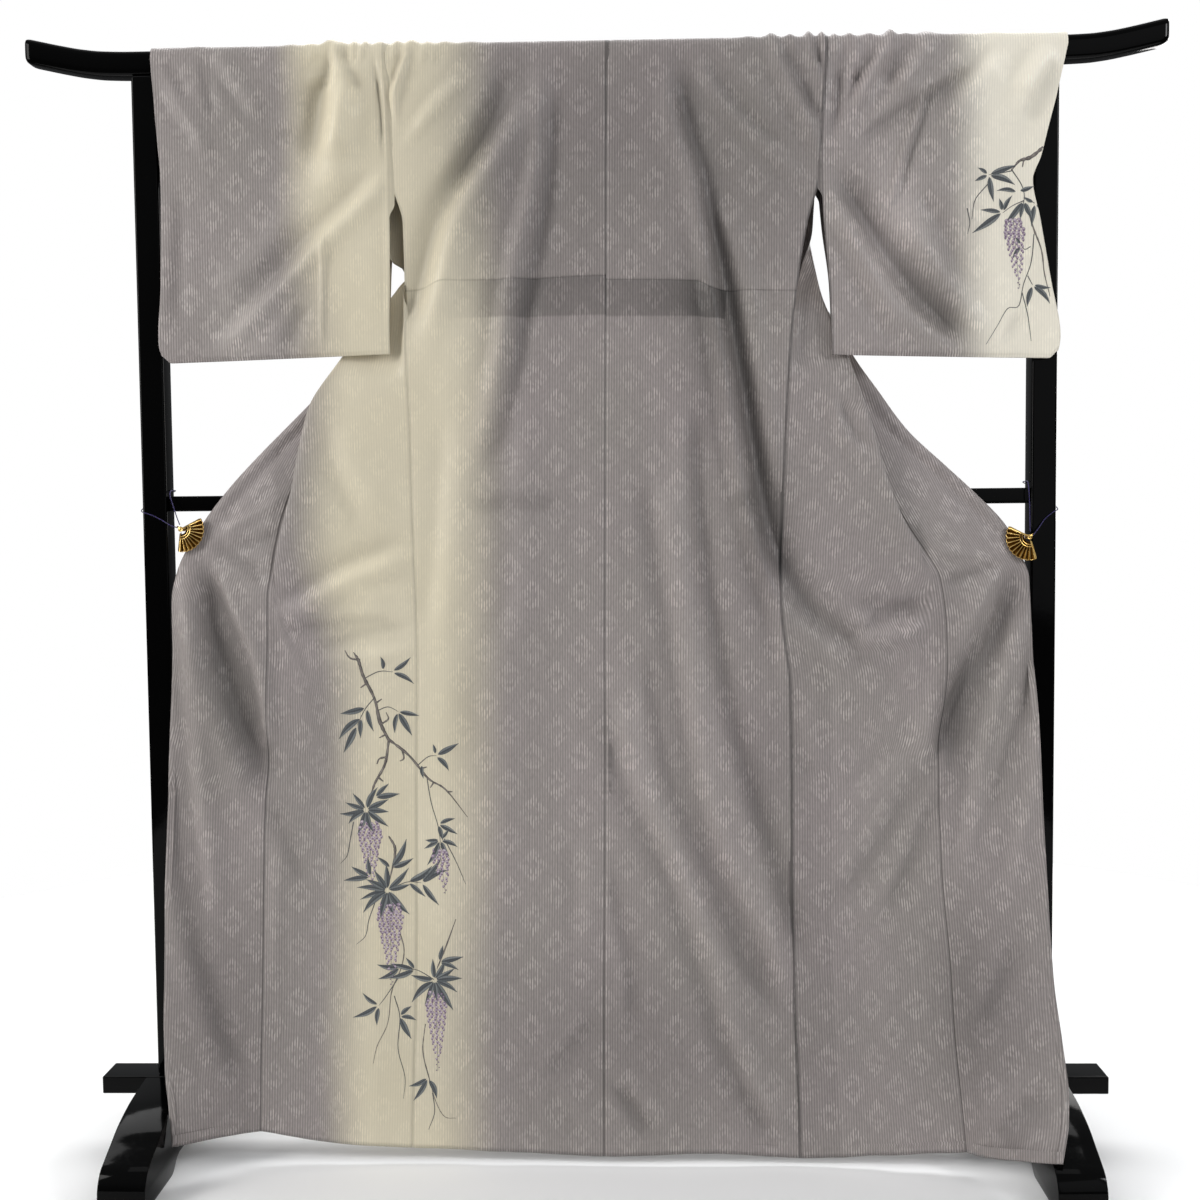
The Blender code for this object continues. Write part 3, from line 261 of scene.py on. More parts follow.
# Each row is one level cut through a front: from the side edge out to the fold 1, back in to the turn 2, out to
# the overlap's seam s and on to the front edge 3. Above z = 127 the overlap strip hasn't begun, so s is 3.
FRONT = {
    -1: (
        ("z", "x1", "y1", "x2", "y2", "xs", "ys", "x3", "y3", "swell"),
        (2, -36.0, -7.0, -43.5, -7.0, -50.7, -7.0, -61.8, -13.7, 0.3),
        (8, -35.6, -6.8, -43.2, -6.85, -50.5, -6.9, -62.5, -12.6, 0.2),
        (14, -35.4, -6.3, -43.0, -6.5, -50.4, -6.6, -63.7, -10.4, 0),
        (24, -35.0, -5.7, -42.5, -5.9, -50.1, -6.2, -64.3, -8.3, 0),
        (42, -34.6, -4.8, -42.2, -5.2, -49.7, -5.5, -64.2, -6.3, 0),
        (60, -36.5, -4.4, -43.0, -4.8, -49.0, -5.1, -63.7, -5.0, 0),
        (76, -42.5, -4.5, -45.8, -4.8, -48.5, -5.0, -63.1, -4.0, 0),
        (84, -46.9, -4.9, -47.6, -4.9, -48.4, -4.9, -63.0, -3.4, 0),
        (88, -47.3, -5.0, -46.6, -4.3, -47.9, -4.3, -62.3, -3.0, 0),
        (94, -46.2, -4.9, -44.8, -3.6, -46.9, -3.5, -59.2, -2.5, 0),
        (100, -44.7, -4.5, -42.1, -2.8, -45.0, -2.6, -54.8, -1.9, 0),
        (106, -43.6, -3.9, -39.3, -1.9, -42.2, -1.5, -49.4, -0.8, 0),
        (112, -42.2, -2.9, -35.5, -0.9, -38.6, -0.2, -43.6, 0.5, 0),
        (118.5, -38.1, -1.6, -28.0, 0.4, -34.8, 1.8, -37.8, 2.4, 0),
        (125, -33.0, -0.6, -21.5, 1.5, -31.0, 3.5, -32.5, 3.8, 0),
        (129.4, -28.9, -1.2, -19.2, 2.0, -29.1, 4.5, -29.1, 4.5, 0),
        (132, -27.3, 0.6, -17.8, 2.2, -27.2, 4.6, -27.2, 4.6, 0),
        (134.5, -27.2, 1.6, -16.6, 2.3, -25.4, 4.8, -25.4, 4.8, 0),
        (140, -26.0, 2.0, -14.5, 2.6, -21.5, 5.0, -21.5, 5.0, 0),
        (150, -26.0, 2.2, -11.6, 2.9, -15.0, 5.4, -15.0, 5.4, 0),
        (156, -25.5, 2.3, -11.4, 2.8, -10.9, 4.6, -10.9, 4.6, 0),
        (163, -25.0, 2.3, -13.0, 2.3, -7.0, 2.3, -7.0, 2.3, 0),
    ),
    1: (
        ("z", "x1", "y1", "x2", "y2", "xs", "ys", "x3", "y3", "swell"),
        (2, 37.3, -8.3, 45.2, -9.1, 53.0, -10.2, 63.6, -21.3, 1.8),
        (8, 37.0, -7.6, 44.8, -8.4, 52.6, -9.4, 65.4, -17.8, 1.5),
        (13, 36.8, -7.1, 44.5, -7.8, 52.2, -8.7, 66.0, -15.4, 1.0),
        (20, 36.6, -6.5, 44.1, -7.1, 51.7, -7.9, 65.7, -13.3, 0.6),
        (28, 36.4, -5.9, 43.9, -6.4, 51.4, -7.0, 65.2, -11.2, 0.3),
        (44, 36.2, -5.0, 43.2, -5.3, 50.2, -5.8, 64.9, -8.1, 0),
        (60, 37.5, -4.4, 44.0, -4.7, 49.9, -5.1, 64.5, -5.9, 0),
        (69, 41.0, -4.4, 46.5, -4.7, 50.8, -5.0, 64.15, -4.95, 0),
        (78, 44.6, -4.6, 48.6, -4.8, 51.0, -4.9, 63.7, -4.0, 0),
        (86, 47.6, -4.9, 49.2, -4.9, 50.1, -4.8, 63.5, -3.1, 0),
        (90, 47.4, -5.0, 47.0, -4.7, 48.0, -4.6, 62.1, -2.7, 0),
        (93.5, 45.4, -5.0, 44.6, -4.3, 45.8, -4.0, 60.3, -2.5, 0),
        (98.8, 43.2, -4.6, 41.2, -3.1, 43.0, -2.9, 55.5, -1.8, 0),
        (102.4, 42.1, -4.2, 39.6, -2.5, 41.5, -2.2, 51.8, -1.2, 0),
        (108, 40.7, -3.4, 37.0, -1.4, 39.7, -1.0, 46.1, -0.2, 0),
        (114, 38.8, -2.5, 34.2, -0.2, 38.0, 0.4, 42.0, 1.1, 0),
        (118.4, 37.3, -1.7, 31.5, 0.4, 36.8, 1.9, 39.2, 2.6, 0),
        (123, 35.4, -1.3, 29.0, 1.0, 35.6, 3.1, 36.6, 3.4, 0),
        (128, 33.3, -1.4, 26.0, 1.7, 34.2, 4.2, 34.2, 4.2, 0),
        (132, 32.4, -1.0, 23.4, 2.0, 31.6, 4.6, 31.6, 4.6, 0),
        (136.5, 31.6, 0.6, 21.0, 2.4, 28.6, 4.8, 28.6, 4.8, 0),
        (140, 30.6, 2.0, 19.3, 2.6, 26.3, 5.0, 26.3, 5.0, 0),
        (150, 29.8, 2.2, 16.2, 2.9, 19.4, 5.4, 19.4, 5.4, 0),
        (156, 29.5, 2.3, 15.8, 2.8, 15.2, 4.6, 15.2, 4.6, 0),
        (163, 29.0, 2.3, 17.5, 2.3, 11.2, 2.3, 11.2, 2.3, 0),
    ),
}
OKUMI_TOP = 126.0       # the overlap strip's pointed top end
# Height of the hem along the stand.
HEM = (
    ("x", "z"),
    (-62, 5.2), (-57.4, 5.2), (-50.7, 4.6), (-42, 3.1), (-29.9, 2.2), (-14.9, 1.8), (0.5, 1.3), (16.3, 1.7),
    (29.3, 1.1), (43.2, 2.1), (53, 3.1), (59.6, 5.6), (63.6, 6.5),
)

# Sleeves: edges of the two layers at each height. xi is the edge by the body, xo the outer edge of the layer on the
# -Y side and xr that of the layer behind. y is the first layer's depth, and r0 to r3 the depth of the layer behind
# at 0, 0.75, 0.87 and 1 of the sleeve's width. Below the wrist opening both outer edges are one seam.
WRIST_END = {-1: 143.0, 1: 143.6}
SLEEVE = {
    -1: (
        ("z", "xi", "xo", "xr", "y", "r0", "r1", "r2", "r3"),
        (118.6, -30.0, -63.5, -63.5, -3.10, -2.85, -2.60, -2.80, -2.90),
        (122, -30.0, -64.2, -64.2, -3.10, -2.60, -0.40, -2.30, -2.60),
        (130, -29.85, -63.7, -63.7, -2.95, -1.70, 0.60, -2.10, -2.45),
        (138, -29.75, -63.5, -63.5, -2.80, 0.40, 1.20, -1.50, -2.35),
        (143, -29.75, -63.4, -63.4, -2.70, 1.30, 1.50, -0.30, -2.30),
        (146.5, -29.75, -63.45, -63.4, -2.62, 1.60, 1.80, 1.10, 0.40),
        (150, -29.85, -63.7, -63.5, -2.55, 1.80, 2.00, 2.00, 2.10),
        (155, -29.95, -64.1, -64.0, -2.45, 2.10, 2.30, 2.30, 2.40),
        (163, -30.35, -64.6, -64.5, -2.30, 2.30, 2.30, 2.30, 2.30),
    ),
    1: (
        ("z", "xi", "xo", "xr", "y", "r0", "r1", "r2", "r3"),
        (117.8, 34.8, 67.2, 67.2, -3.10, -2.85, -2.60, -2.80, -2.90),
        (121, 34.7, 67.7, 67.7, -3.10, -2.60, -0.40, -2.35, -2.60),
        (129, 34.4, 66.4, 66.4, -2.95, -2.10, 0.60, -2.15, -2.45),
        (138, 33.6, 64.8, 64.8, -2.80, 0.20, 1.20, -1.80, -2.35),
        (143.6, 33.3, 63.7, 63.7, -2.70, 1.30, 1.50, -0.60, -2.30),
        (147, 33.25, 64.9, 63.4, -2.62, 1.60, 1.80, 1.10, 0.40),
        (151, 33.4, 65.9, 63.5, -2.55, 1.80, 2.00, 2.00, 2.15),
        (156, 33.65, 67.2, 66.0, -2.45, 2.10, 2.30, 2.35, 2.45),
        (163, 34.15, 68.7, 68.4, -2.30, 2.30, 2.30, 2.30, 2.30),
    ),
}
SLEEVE_BOTTOM = {-1: (119.7, 118.7), 1: (118.8, 117.9)}   # by the body, outer
CUFF_CORNER = 1.1       # rise of the rounded corner below the wrist

# Stand.
BAR_END = (("x", "lift"), (0, 0), (68, 0), (72, 0.12), (75, 0.45), (78, 1.0), (81, 1.65), (83.43, 2.2))
FOOT_TOP = (("y", "z"), (2.80, 11.1), (6.9, 10.6), (10.5, 10.0), (14.6, 8.8), (17.8, 7.3), (20.1, 6.2), (21.6, 5.4), (22.5, 4.4), (23.0, 3.3), (23.2, 2.0), (23.2, 0.0))
FOOT_ARCH = (("y", "z"), (12.0, 0.0), (10.6, 0.5), (9.6, 1.5), (8.4, 2.0), (0.0, 2.0))

# Clips: the pivot, the two outer ribs' directions and the fan's reach.
FAN = {-1: (-61.5, 94.3, 23, -93), 1: (63.4, 92.0, 157, 283)}
FAN_REACH, FAN_PLEATS, FAN_Y, FAN_WALL = 3.5, 9, -3.35, 0.16


# ---------------------------------------------------------------- curves through table columns
def pchip(xs, ys):
    """A smooth curve through the points that doesn't overshoot between them."""
    xs, ys = np.array(xs, float), np.array(ys, float)
    h = np.diff(xs)
    d = np.diff(ys) / h
    m = np.concatenate([d[:1], np.zeros(len(xs) - 2), d[-1:]])
    for i in range(1, len(xs) - 1):
        if d[i - 1] * d[i] > 0:
            w1, w2 = 2 * h[i] + h[i - 1], h[i] + 2 * h[i - 1]
            m[i] = (w1 + w2) / (w1 / d[i - 1] + w2 / d[i])

    def at(x):
        x = np.clip(np.asarray(x, float), xs[0], xs[-1])
        i = np.clip(np.searchsorted(xs, x, side="right") - 1, 0, len(h) - 1)
        t = (x - xs[i]) / h[i]
        return ys[i] * (1 + 2 * t) * (1 - t) ** 2 + h[i] * m[i] * t * (1 - t) ** 2 + ys[i + 1] * t * t * (3 - 2 * t) + h[i] * m[i + 1] * t * t * (t - 1)

    return at


def columns(table):
    """Each named column of a table as a curve over its first column."""
    names, rows = table[0], table[1:]
    first = [r[0] for r in rows]
    return {n: pchip(first, [r[i] for r in rows]) for i, n in enumerate(names) if i}


def smooth(t):
    t = np.clip(t, 0, 1)
    return t * t * (3 - 2 * t)


centre = columns(CENTRE)
hem = columns(HEM)["z"]
side_of = {s: columns(SIDE[s]) for s in (-1, 1)}
free_of = {s: columns(FREE[s]) for s in (-1, 1)}
front_of = {s: columns(FRONT[s]) for s in (-1, 1)}
sleeve_of = {s: columns(SLEEVE[s]) for s in (-1, 1)}

# ---------------------------------------------------------------- creases (cm)
# Each row: half-width, height towards -Y (a trough is negative), then the points (x, z) that the crease runs through.
BODY_CREASES = (
    (0.6, -0.35, (-30.8, 162.3), (-30.3, 155.1), (-30.3, 147.9)),
    (0.8, 0.35, (-16.9, 161.3), (-23.6, 154.3), (-28.5, 150)),
    (0.9, 0.4, (-27.9, 162.5), (-29.4, 155.8)),
    (1.5, -0.42, (-12.7, 163.1), (-16, 154.1), (-19.9, 147.4), (-22.3, 142.7)),
    (2.0, 0.95, (-9.4, 158.3), (-14.9, 149.1), (-20.9, 139.8), (-24, 129), (-26.1, 121)),
    (1.3, 0.45, (-8.5, 162.6), (-8.3, 149), (-10.6, 140.4), (-12.8, 131.7), (-14, 123), (-16.2, 112.8)),
    (1.6, -0.55, (-6.7, 159), (-7.5, 143.2), (-9.2, 133.1), (-11.5, 123), (-13.4, 112.8), (-17.2, 101.1)),
    (1.8, 0.25, (-21, 111.4), (-21.8, 101.2), (-23, 89.4), (-24.4, 76.1)),
    (1.8, 0.25, (-11, 109.8), (-12.1, 98.1), (-12, 84.9), (-14.3, 74.6)),
    (1.7, -0.95, (11.4, 161.3), (13, 153.7), (15.7, 142.8), (17.9, 131.3), (19.5, 122.6), (21.2, 112.4), (22.7, 102.2), (24.4, 93.4), (27.3, 86), (31.7, 79.8), (37.2, 76), (42.3, 74.7)),
    (1.3, 0.55, (13.4, 151.5), (15, 138.5), (17, 124.1), (18.7, 112.4), (20.5, 100.7), (23.4, 89), (26.1, 80.1), (27.7, 69.8)),
    (1.3, 0.45, (16.4, 144.3), (20.7, 132.7), (22.2, 124), (23.7, 115.3), (25.5, 105), (27.1, 96.3)),
    (1.5, -0.65, (14, 112.5), (14.2, 100.8), (14.9, 92), (15.7, 83.2), (17, 75.8), (18.5, 66.9), (20.4, 59.5), (22.6, 52.1), (25.5, 43.2), (27.5, 34.4), (28.4, 29.2)),
    (1.8, 0.7, (8.8, 102.3), (11.2, 83.2), (13.7, 65.5), (15.4, 55.1), (18.1, 46.2), (21.6, 38.1), (25.1, 30.7), (27.8, 23.3)),
    (1.3, -0.55, (6.4, 77.4), (8.1, 64.1), (9.9, 55.2), (12.4, 48.5), (15.7, 40.3), (19.5, 31.4), (23.7, 24.3), (27.6, 20.8)),
    (1.8, 0.7, (2.2, 70), (4.9, 56.7), (8.4, 49.2), (12.2, 40.3), (15.2, 31.4), (19.2, 18.9), (23.5, 9.5), (28.1, 2.3)),
    (1.2, -0.4, (1.4, 44.8), (2.5, 36.6), (3.9, 30), (4.6, 18.2)),
    (0.7, -0.25, (3.3, 92.1), (4.2, 89.9), (5.2, 86.9)),
    (0.7, -0.25, (4.5, 77.4), (5.2, 73.7), (6.2, 69.7)),
    (1.3, -0.5, (2, 11.6), (4.1, 7.3), (6.1, 2.9)),
    (1.3, 0.4, (0.9, 13.8), (5.8, 8.7), (9.9, 4.4)),
    (1.1, 0.4, (20.3, 13.1), (24.3, 8.7), (27.9, 5.1)),
    (0.9, -0.45, (23.8, 11.2), (26.7, 7.3), (29.3, 3.4)),
    (1.1, 0.45, (14.3, 162.6), (16.6, 157.2), (21.5, 151.4), (28, 145.5), (32.3, 142.6)),
    (1.0, -0.45, (15.8, 162.2), (19.8, 156), (24.7, 151), (28.7, 148.4)),
    (0.9, 0.3, (18.4, 162.6), (22.3, 157.8), (25.6, 154.4)),
    (1.1, 0.7, (24.7, 163.7), (27.3, 158.4), (30.2, 152.6), (32.8, 147.3)),
    (1.0, -0.7, (26.2, 163.7), (28.8, 158.4), (32.1, 152.3)),
    (0.8, 0.45, (30.2, 163.6), (31.9, 159.8), (32.9, 155.5)),
    (1.4, 0.3, (-3, 49.3), (-2.6, 38.9), (-3.5, 30)),
    (1.3, -0.25, (-0.7, 22.6), (-4.4, 17.5), (-8.9, 13.1)),
    (1.2, 0.3, (-6.7, 10.9), (-3.8, 7.3), (-1.6, 3.7)),
    # left front
    (0.8, -0.22, (-40.6, 104.6), (-37.6, 98.4), (-36.2, 95), (-35.2, 91.0)),
    (1.4, 0.7, (-47.5, 81.6), (-42.4, 84.2), (-37.6, 87.2), (-31.9, 89.5), (-27.3, 91.5)),
    (1.1, -0.5, (-46.9, 79.8), (-39.5, 80.4), (-28.7, 81.2)),
    (1.0, -0.45, (-40.7, 77.6), (-34.7, 79), (-27.4, 80.3)),
    (1.2, 0.4, (-41.3, 75.6), (-35.1, 75.9), (-27.3, 76.9)),
    (1.5, 0.3, (-39, 110.2), (-36.9, 102.8), (-33, 95.4)),
    (1.0, 0.25, (-37.1, 85.8), (-33.1, 84.8), (-27.8, 85.6)),
    (1.2, 0.3, (-48, 48), (-48.8, 36), (-49.2, 24.1)),
    # right front
    (1.4, 0.8, (36.6, 80.2), (40.4, 78.4), (48.3, 80.6)),
    (1.3, -0.5, (37, 83.6), (43.8, 82.8), (48.9, 83.4)),
    (1.0, -0.35, (29.4, 58.9), (32, 58.3), (34.5, 57.7)),
    (1.3, 0.3, (29.3, 69.8), (30.6, 62.4), (33, 55)),
    (1.6, -0.3, (31.9, 38.8), (37.8, 43.2), (45.2, 55), (48.8, 61.6)),
    (1.4, 0.25, (35.7, 53.6), (40.1, 56.5), (45.2, 61.6)),
    (1.1, 0.6, (33.8, 113), (35.9, 106.7), (39.6, 102.6)),
    (0.8, -0.6, (35.3, 112.5), (37.3, 107.5), (39.9, 104.9)),
    (0.8, -0.4, (45.3, 94.6), (46.7, 92), (48.3, 89.3)),
    # left overlap strip
    (1.0, 0.5, (-56.2, 94), (-50.8, 96.9), (-45.8, 99.8)),
    (1.2, -0.3, (-54.6, 91.9), (-49.1, 93.3), (-46.4, 94.8)),
    (1.0, -0.6, (-57.6, 91.8), (-52.5, 88.8), (-48.6, 85.5)),
    (1.2, 0.8, (-57.8, 90.3), (-54.9, 83.5), (-51.3, 76.4), (-49.7, 69), (-49.5, 60.1)),
    (2.2, -1.0, (-59.6, 89.7), (-57.8, 77.9), (-55, 69), (-52, 60.1), (-49.8, 53.4)),
    (1.3, -0.35, (-49.8, 53.4), (-47, 47.9), (-44, 40.4)),
    (1.5, 0.6, (-61.5, 83.1), (-60.8, 69.1), (-59.6, 54.2), (-58.3, 43.7), (-57.5, 35.6)),
    (1.5, -0.5, (-64, 60.2), (-63.5, 46.7), (-61.4, 34.8), (-58.5, 24.5), (-55.5, 15.6), (-53.1, 9.8)),
    # right overlap strip
    (1.0, 0.5, (48.3, 90.9), (53.3, 90.3), (59.2, 89.2)),
    (1.0, -0.5, (50.3, 85.7), (55.4, 87.1), (59.4, 88.7)),
    (1.0, 0.55, (59.5, 85.7), (56.9, 79.9), (54, 71.1), (51.1, 62.4), (48.8, 55.2)),
    (2.1, -0.9, (61.1, 88.4), (57.2, 79.9), (52.6, 71.1), (50.2, 63.9), (49.4, 56.6)),
    (1.3, -0.4, (50.2, 56.6), (47.2, 49.4), (44.2, 42.2), (41.2, 36.5)),
    (1.2, 0.6, (61.4, 82.8), (59.9, 75.5), (57.7, 68.2), (55.4, 59.5), (53.6, 49.4), (52, 41.9)),
    (1.1, -0.45, (63.4, 79.6), (62.1, 68.2), (58.8, 58), (56.5, 49.4)),
    (1.2, 0.45, (65, 78.4), (62.6, 56.6), (60.2, 46.5), (58.4, 39)),
    (1.4, -0.35, (59.9, 35), (56.8, 26.5), (53.8, 20.6)),
    (1.5, -0.4, (63.5, 14.7), (59.1, 11.2), (55.3, 5.5)),
)
SLEEVE_CREASES = {
    -1: (
        (1.2, 0.5, (-55.9, 164.1), (-51.3, 157.5), (-48.9, 153.6)),
        (1.0, -0.35, (-57.3, 162.6), (-56.6, 158.3), (-55.8, 154.3)),
        (1.2, 0.4, (-63.4, 159.6), (-58.8, 152.6), (-56.7, 148.3)),
        (0.9, -0.35, (-62.5, 162.7), (-59.5, 156.9)),
        (2.0, 0.9, (-37.3, 164), (-38, 156.6), (-39.5, 147.3)),
        (1.1, -0.3, (-39.3, 164.5), (-38.9, 162), (-39.9, 158)),
        (0.8, -0.5, (-35.7, 164.5), (-34.8, 162)),
        (1.4, 0.65, (-29.7, 147), (-35.2, 141.3), (-40, 137), (-47.9, 128.6), (-56.1, 120.4)),
        (0.8, -0.5, (-31.9, 162.2), (-31.1, 156.5), (-30.7, 149.3)),
        (1.3, -0.35, (-42.9, 127.8), (-46.2, 120.5)),
        (1.6, -0.3, (-42.9, 140.1), (-48.2, 133.4), (-54.3, 127.9)),
        (1.0, 0.4, (-30.2, 143.5), (-29.9, 133.4), (-30.3, 121.8)),
        (1.3, -0.25, (-51.4, 154.2), (-46.3, 152.4), (-41.2, 152.6)),
        (1.2, -0.25, (-62, 144), (-61.2, 140.4), (-62.3, 123.7)),
    ),
    1: (
        (1.0, -0.8, (35.2, 163.1), (34.9, 157.5), (33.9, 149.4)),
        (1.1, 0.5, (42.5, 163.7), (40.2, 159.2), (37.4, 153.6)),
        (1.0, -0.55, (40.5, 163.5), (37.1, 157)),
        (1.1, 0.4, (46.3, 161.5), (43.1, 156.3)),
        (1.2, -0.6, (57.1, 162.6), (51.7, 157.9), (46.3, 155.2), (41.7, 152.1), (37.4, 148.8)),
        (1.6, 0.5, (59, 162.6), (53.4, 156.2), (50.3, 150.5)),
        (1.4, 0.45, (66, 164.1), (60.6, 156)),
        (1.3, -0.5, (66.9, 160.7), (62.1, 151.8)),
        (1.9, -1.1, (33.8, 145.1), (37.5, 139.5), (41.9, 132.2), (46.2, 126.4), (51.7, 121.5), (55.5, 119)),
        (1.4, 0.6, (44, 139), (47.6, 132.3), (52, 126.4), (56.1, 119.5)),
        (1.3, 0.5, (34.9, 141.1), (37.5, 133.7), (41.1, 126.4), (44.6, 120.1)),
        (1.3, -0.35, (46.2, 142.4), (49.8, 136.4), (53.4, 127.8)),
        (1.0, -0.3, (59.1, 119.9), (62, 124.9)),
        (0.7, 0.35, (37.4, 163.5), (38.2, 161)),
    ),
}
# The layers that face +Y behind the bar, which the photograph doesn't show: similar soft folds.
REAR_CREASES = (
    (1.6, -0.5, (-56, 162), (-50, 150), (-44, 136)),
    (1.5, -0.4, (-37, 163), (-38, 152), (-41, 141)),
    (1.4, -0.4, (-60, 158), (-58, 142), (-60, 128)),
    (1.6, -0.5, (38, 163), (42, 150), (47, 137)),
    (1.4, -0.4, (58, 162), (54, 149), (56, 134)),
    (1.5, -0.4, (64, 160), (60, 148)),
)
# Where the cloth is bunched on the bar: place, half-width and rise.
BUNCHES = (
    ("x", "w", "rise"),
    (-58.0, 1.6, 0.12), (-44.0, 1.2, 0.20), (-41.2, 0.9, 0.30), (-38.3, 1.1, 0.85), (-36.7, 0.9, 0.35), (-34.7, 0.55, 0.55), (-33.1, 0.5, 0.50), (-31.0, 0.7, 0.42), (-28.4, 0.6, 0.46),
    (-26.3, 0.9, 0.58), (-23.9, 0.5, 0.30), (-21.4, 0.9, 0.26), (-17.6, 1.2, 0.14), (22.9, 0.9, 0.20), (26.2, 0.8, 0.62), (28.9, 0.6, 0.42), (31.6, 0.55, 0.80), (33.5, 0.45, 0.70),
    (35.3, 0.4, 0.36), (37.5, 0.6, 0.42), (40.3, 0.8, 0.34), (43.4, 0.75, 0.85), (45.6, 0.8, 0.22), (48.7, 1.3, 0.40), (58.6, 1.8, 0.14),
)
# Pleats that run down from the bar at both shoulders, and two lines where a sleeve was once ironed: rows as above.
PLEATS = (
    (0.9, 1.0, (-38.2, 165.0), (-37.7, 162.6), (-38.0, 160.0), (-38.9, 156.5)),
    (2.7, 0.5, (-38.2, 160.0), (-39.0, 153.0), (-40.5, 143.0)),
    (0.38, 0.7, (-34.9, 164.8), (-34.8, 163.2), (-35.6, 162.2)),
    (0.32, 0.6, (-33.0, 164.8), (-34.0, 162.2)),
    (0.9, -0.7, (-37.0, 164.2), (-35.5, 160.6), (-34.2, 157.0)),
    (0.28, -0.75, (-31.7, 162.6), (-31.1, 155.7), (-30.7, 151.0), (-30.4, 147.0)),
    (0.35, 0.5, (-31.2, 164.5), (-30.6, 158.0), (-30.0, 152.0)),
    (0.45, 0.9, (-26.2, 165.0), (-27.4, 161.8), (-28.7, 158.0), (-28.9, 155.8), (-28.4, 152.6)),
    (0.5, -0.7, (-27.9, 163.6), (-29.2, 158.6)),
    (0.3, 0.5, (-28.6, 164.8), (-29.0, 162.6)),
    (1.0, 0.7, (-19.0, 160.4), (-22.6, 157.0), (-26.4, 152.6)),
    (0.4, -0.5, (-21.4, 164.5), (-22.9, 161.6)),
    (0.35, -0.4, (-17.9, 164.5), (-18.6, 162.4)),
    (0.4, 0.45, (-23.9, 164.8), (-25.0, 162.2)),
    (0.5, 0.5, (-39.2, 164.8), (-41.4, 163.0)),
    (1.0, -0.4, (-38.4, 162.8), (-39.9, 158.6)),
    (0.8, 0.95, (25.9, 164.8), (26.5, 162.2), (27.9, 159.8), (30.8, 153.4), (32.7, 150.2)),
    (0.9, -0.5, (27.4, 163.6), (29.8, 159.2), (32.2, 154.3)),
    (0.35, 0.5, (28.8, 164.6), (29.7, 161.6)),
    (0.4, 0.95, (31.6, 164.8), (31.4, 162.2), (32.4, 160.4), (33.1, 158.4)),
    (0.4, -0.8, (32.4, 164.0), (32.8, 160.6)),
    (0.35, 0.8, (33.5, 164.8), (33.6, 159.0), (33.2, 153.0)),
    (0.35, 0.7, (35.4, 164.6), (35.2, 161.0), (34.7, 155.8), (34.2, 149.5)),
    (0.6, -0.7, (36.5, 163.6), (36.0, 158.0), (35.4, 151.0)),
    (0.35, 0.6, (37.4, 164.8), (38.6, 162.4)),
    (0.5, 0.4, (40.2, 164.8), (39.6, 163.0)),
    (0.85, 1.15, (43.4, 165.0), (42.5, 163.0), (40.5, 160.3), (39.0, 157.6), (37.6, 154.0)),
    (0.9, -0.4, (40.4, 162.6), (37.8, 158.2)),
    (1.3, 0.9, (48.7, 165.0), (47.3, 162.7), (45.5, 159.8), (43.6, 156.3)),
    (0.8, -0.35, (44.9, 162.6), (41.6, 158.0)),
    (0.45, 1.2, (48.8, 158.4), (46.5, 152.3), (44.7, 147.2), (43.5, 142.4), (42.0, 137.6)),
    (0.55, -0.5, (49.6, 157.9), (47.4, 152.1), (45.6, 147.0), (44.4, 142.2)),
    (0.40, 0.8, (-39.5, 138.2), (-39.9, 130.0), (-40.1, 120.4)),
)
TUCK = 130.0            # nominal height of the stitched tuck across the back
TUCK_LINE = {
    -1: (("x", "z"), (-27.6, 129.0), (-25.4, 129.2), (-21.5, 130.2), (-12, 130.5), (1.8, 130.9)),
    1: (("x", "z"), (2.2, 130.3), (15, 129.9), (17.4, 128.7), (29.5, 128.2)),
}


# ---------------------------------------------------------------- shape of the cloth
def rounded_path(points, cuts=4):
    """A Catmull-Rom line through the points."""
    p = np.array(points, float)
    ends = np.concatenate([[2 * p[0] - p[1]], p, [2 * p[-1] - p[-2]]])
    line = [p[0]]
    for i in range(len(p) - 1):
        p0, p1, p2, p3 = ends[i : i + 4]
        for t in np.linspace(0, 1, cuts + 1)[1:]:
            line.append(0.5 * (2 * p1 + (p2 - p0) * t + (2 * p0 - 5 * p1 + 4 * p2 - p3) * t**2 + (3 * p1 - p0 - 3 * p2 + p3) * t**3))
    return np.array(line)


LIGHT_FROM = np.array((-0.94, 0.34))   # where the key light stands, seen from the front: x and z


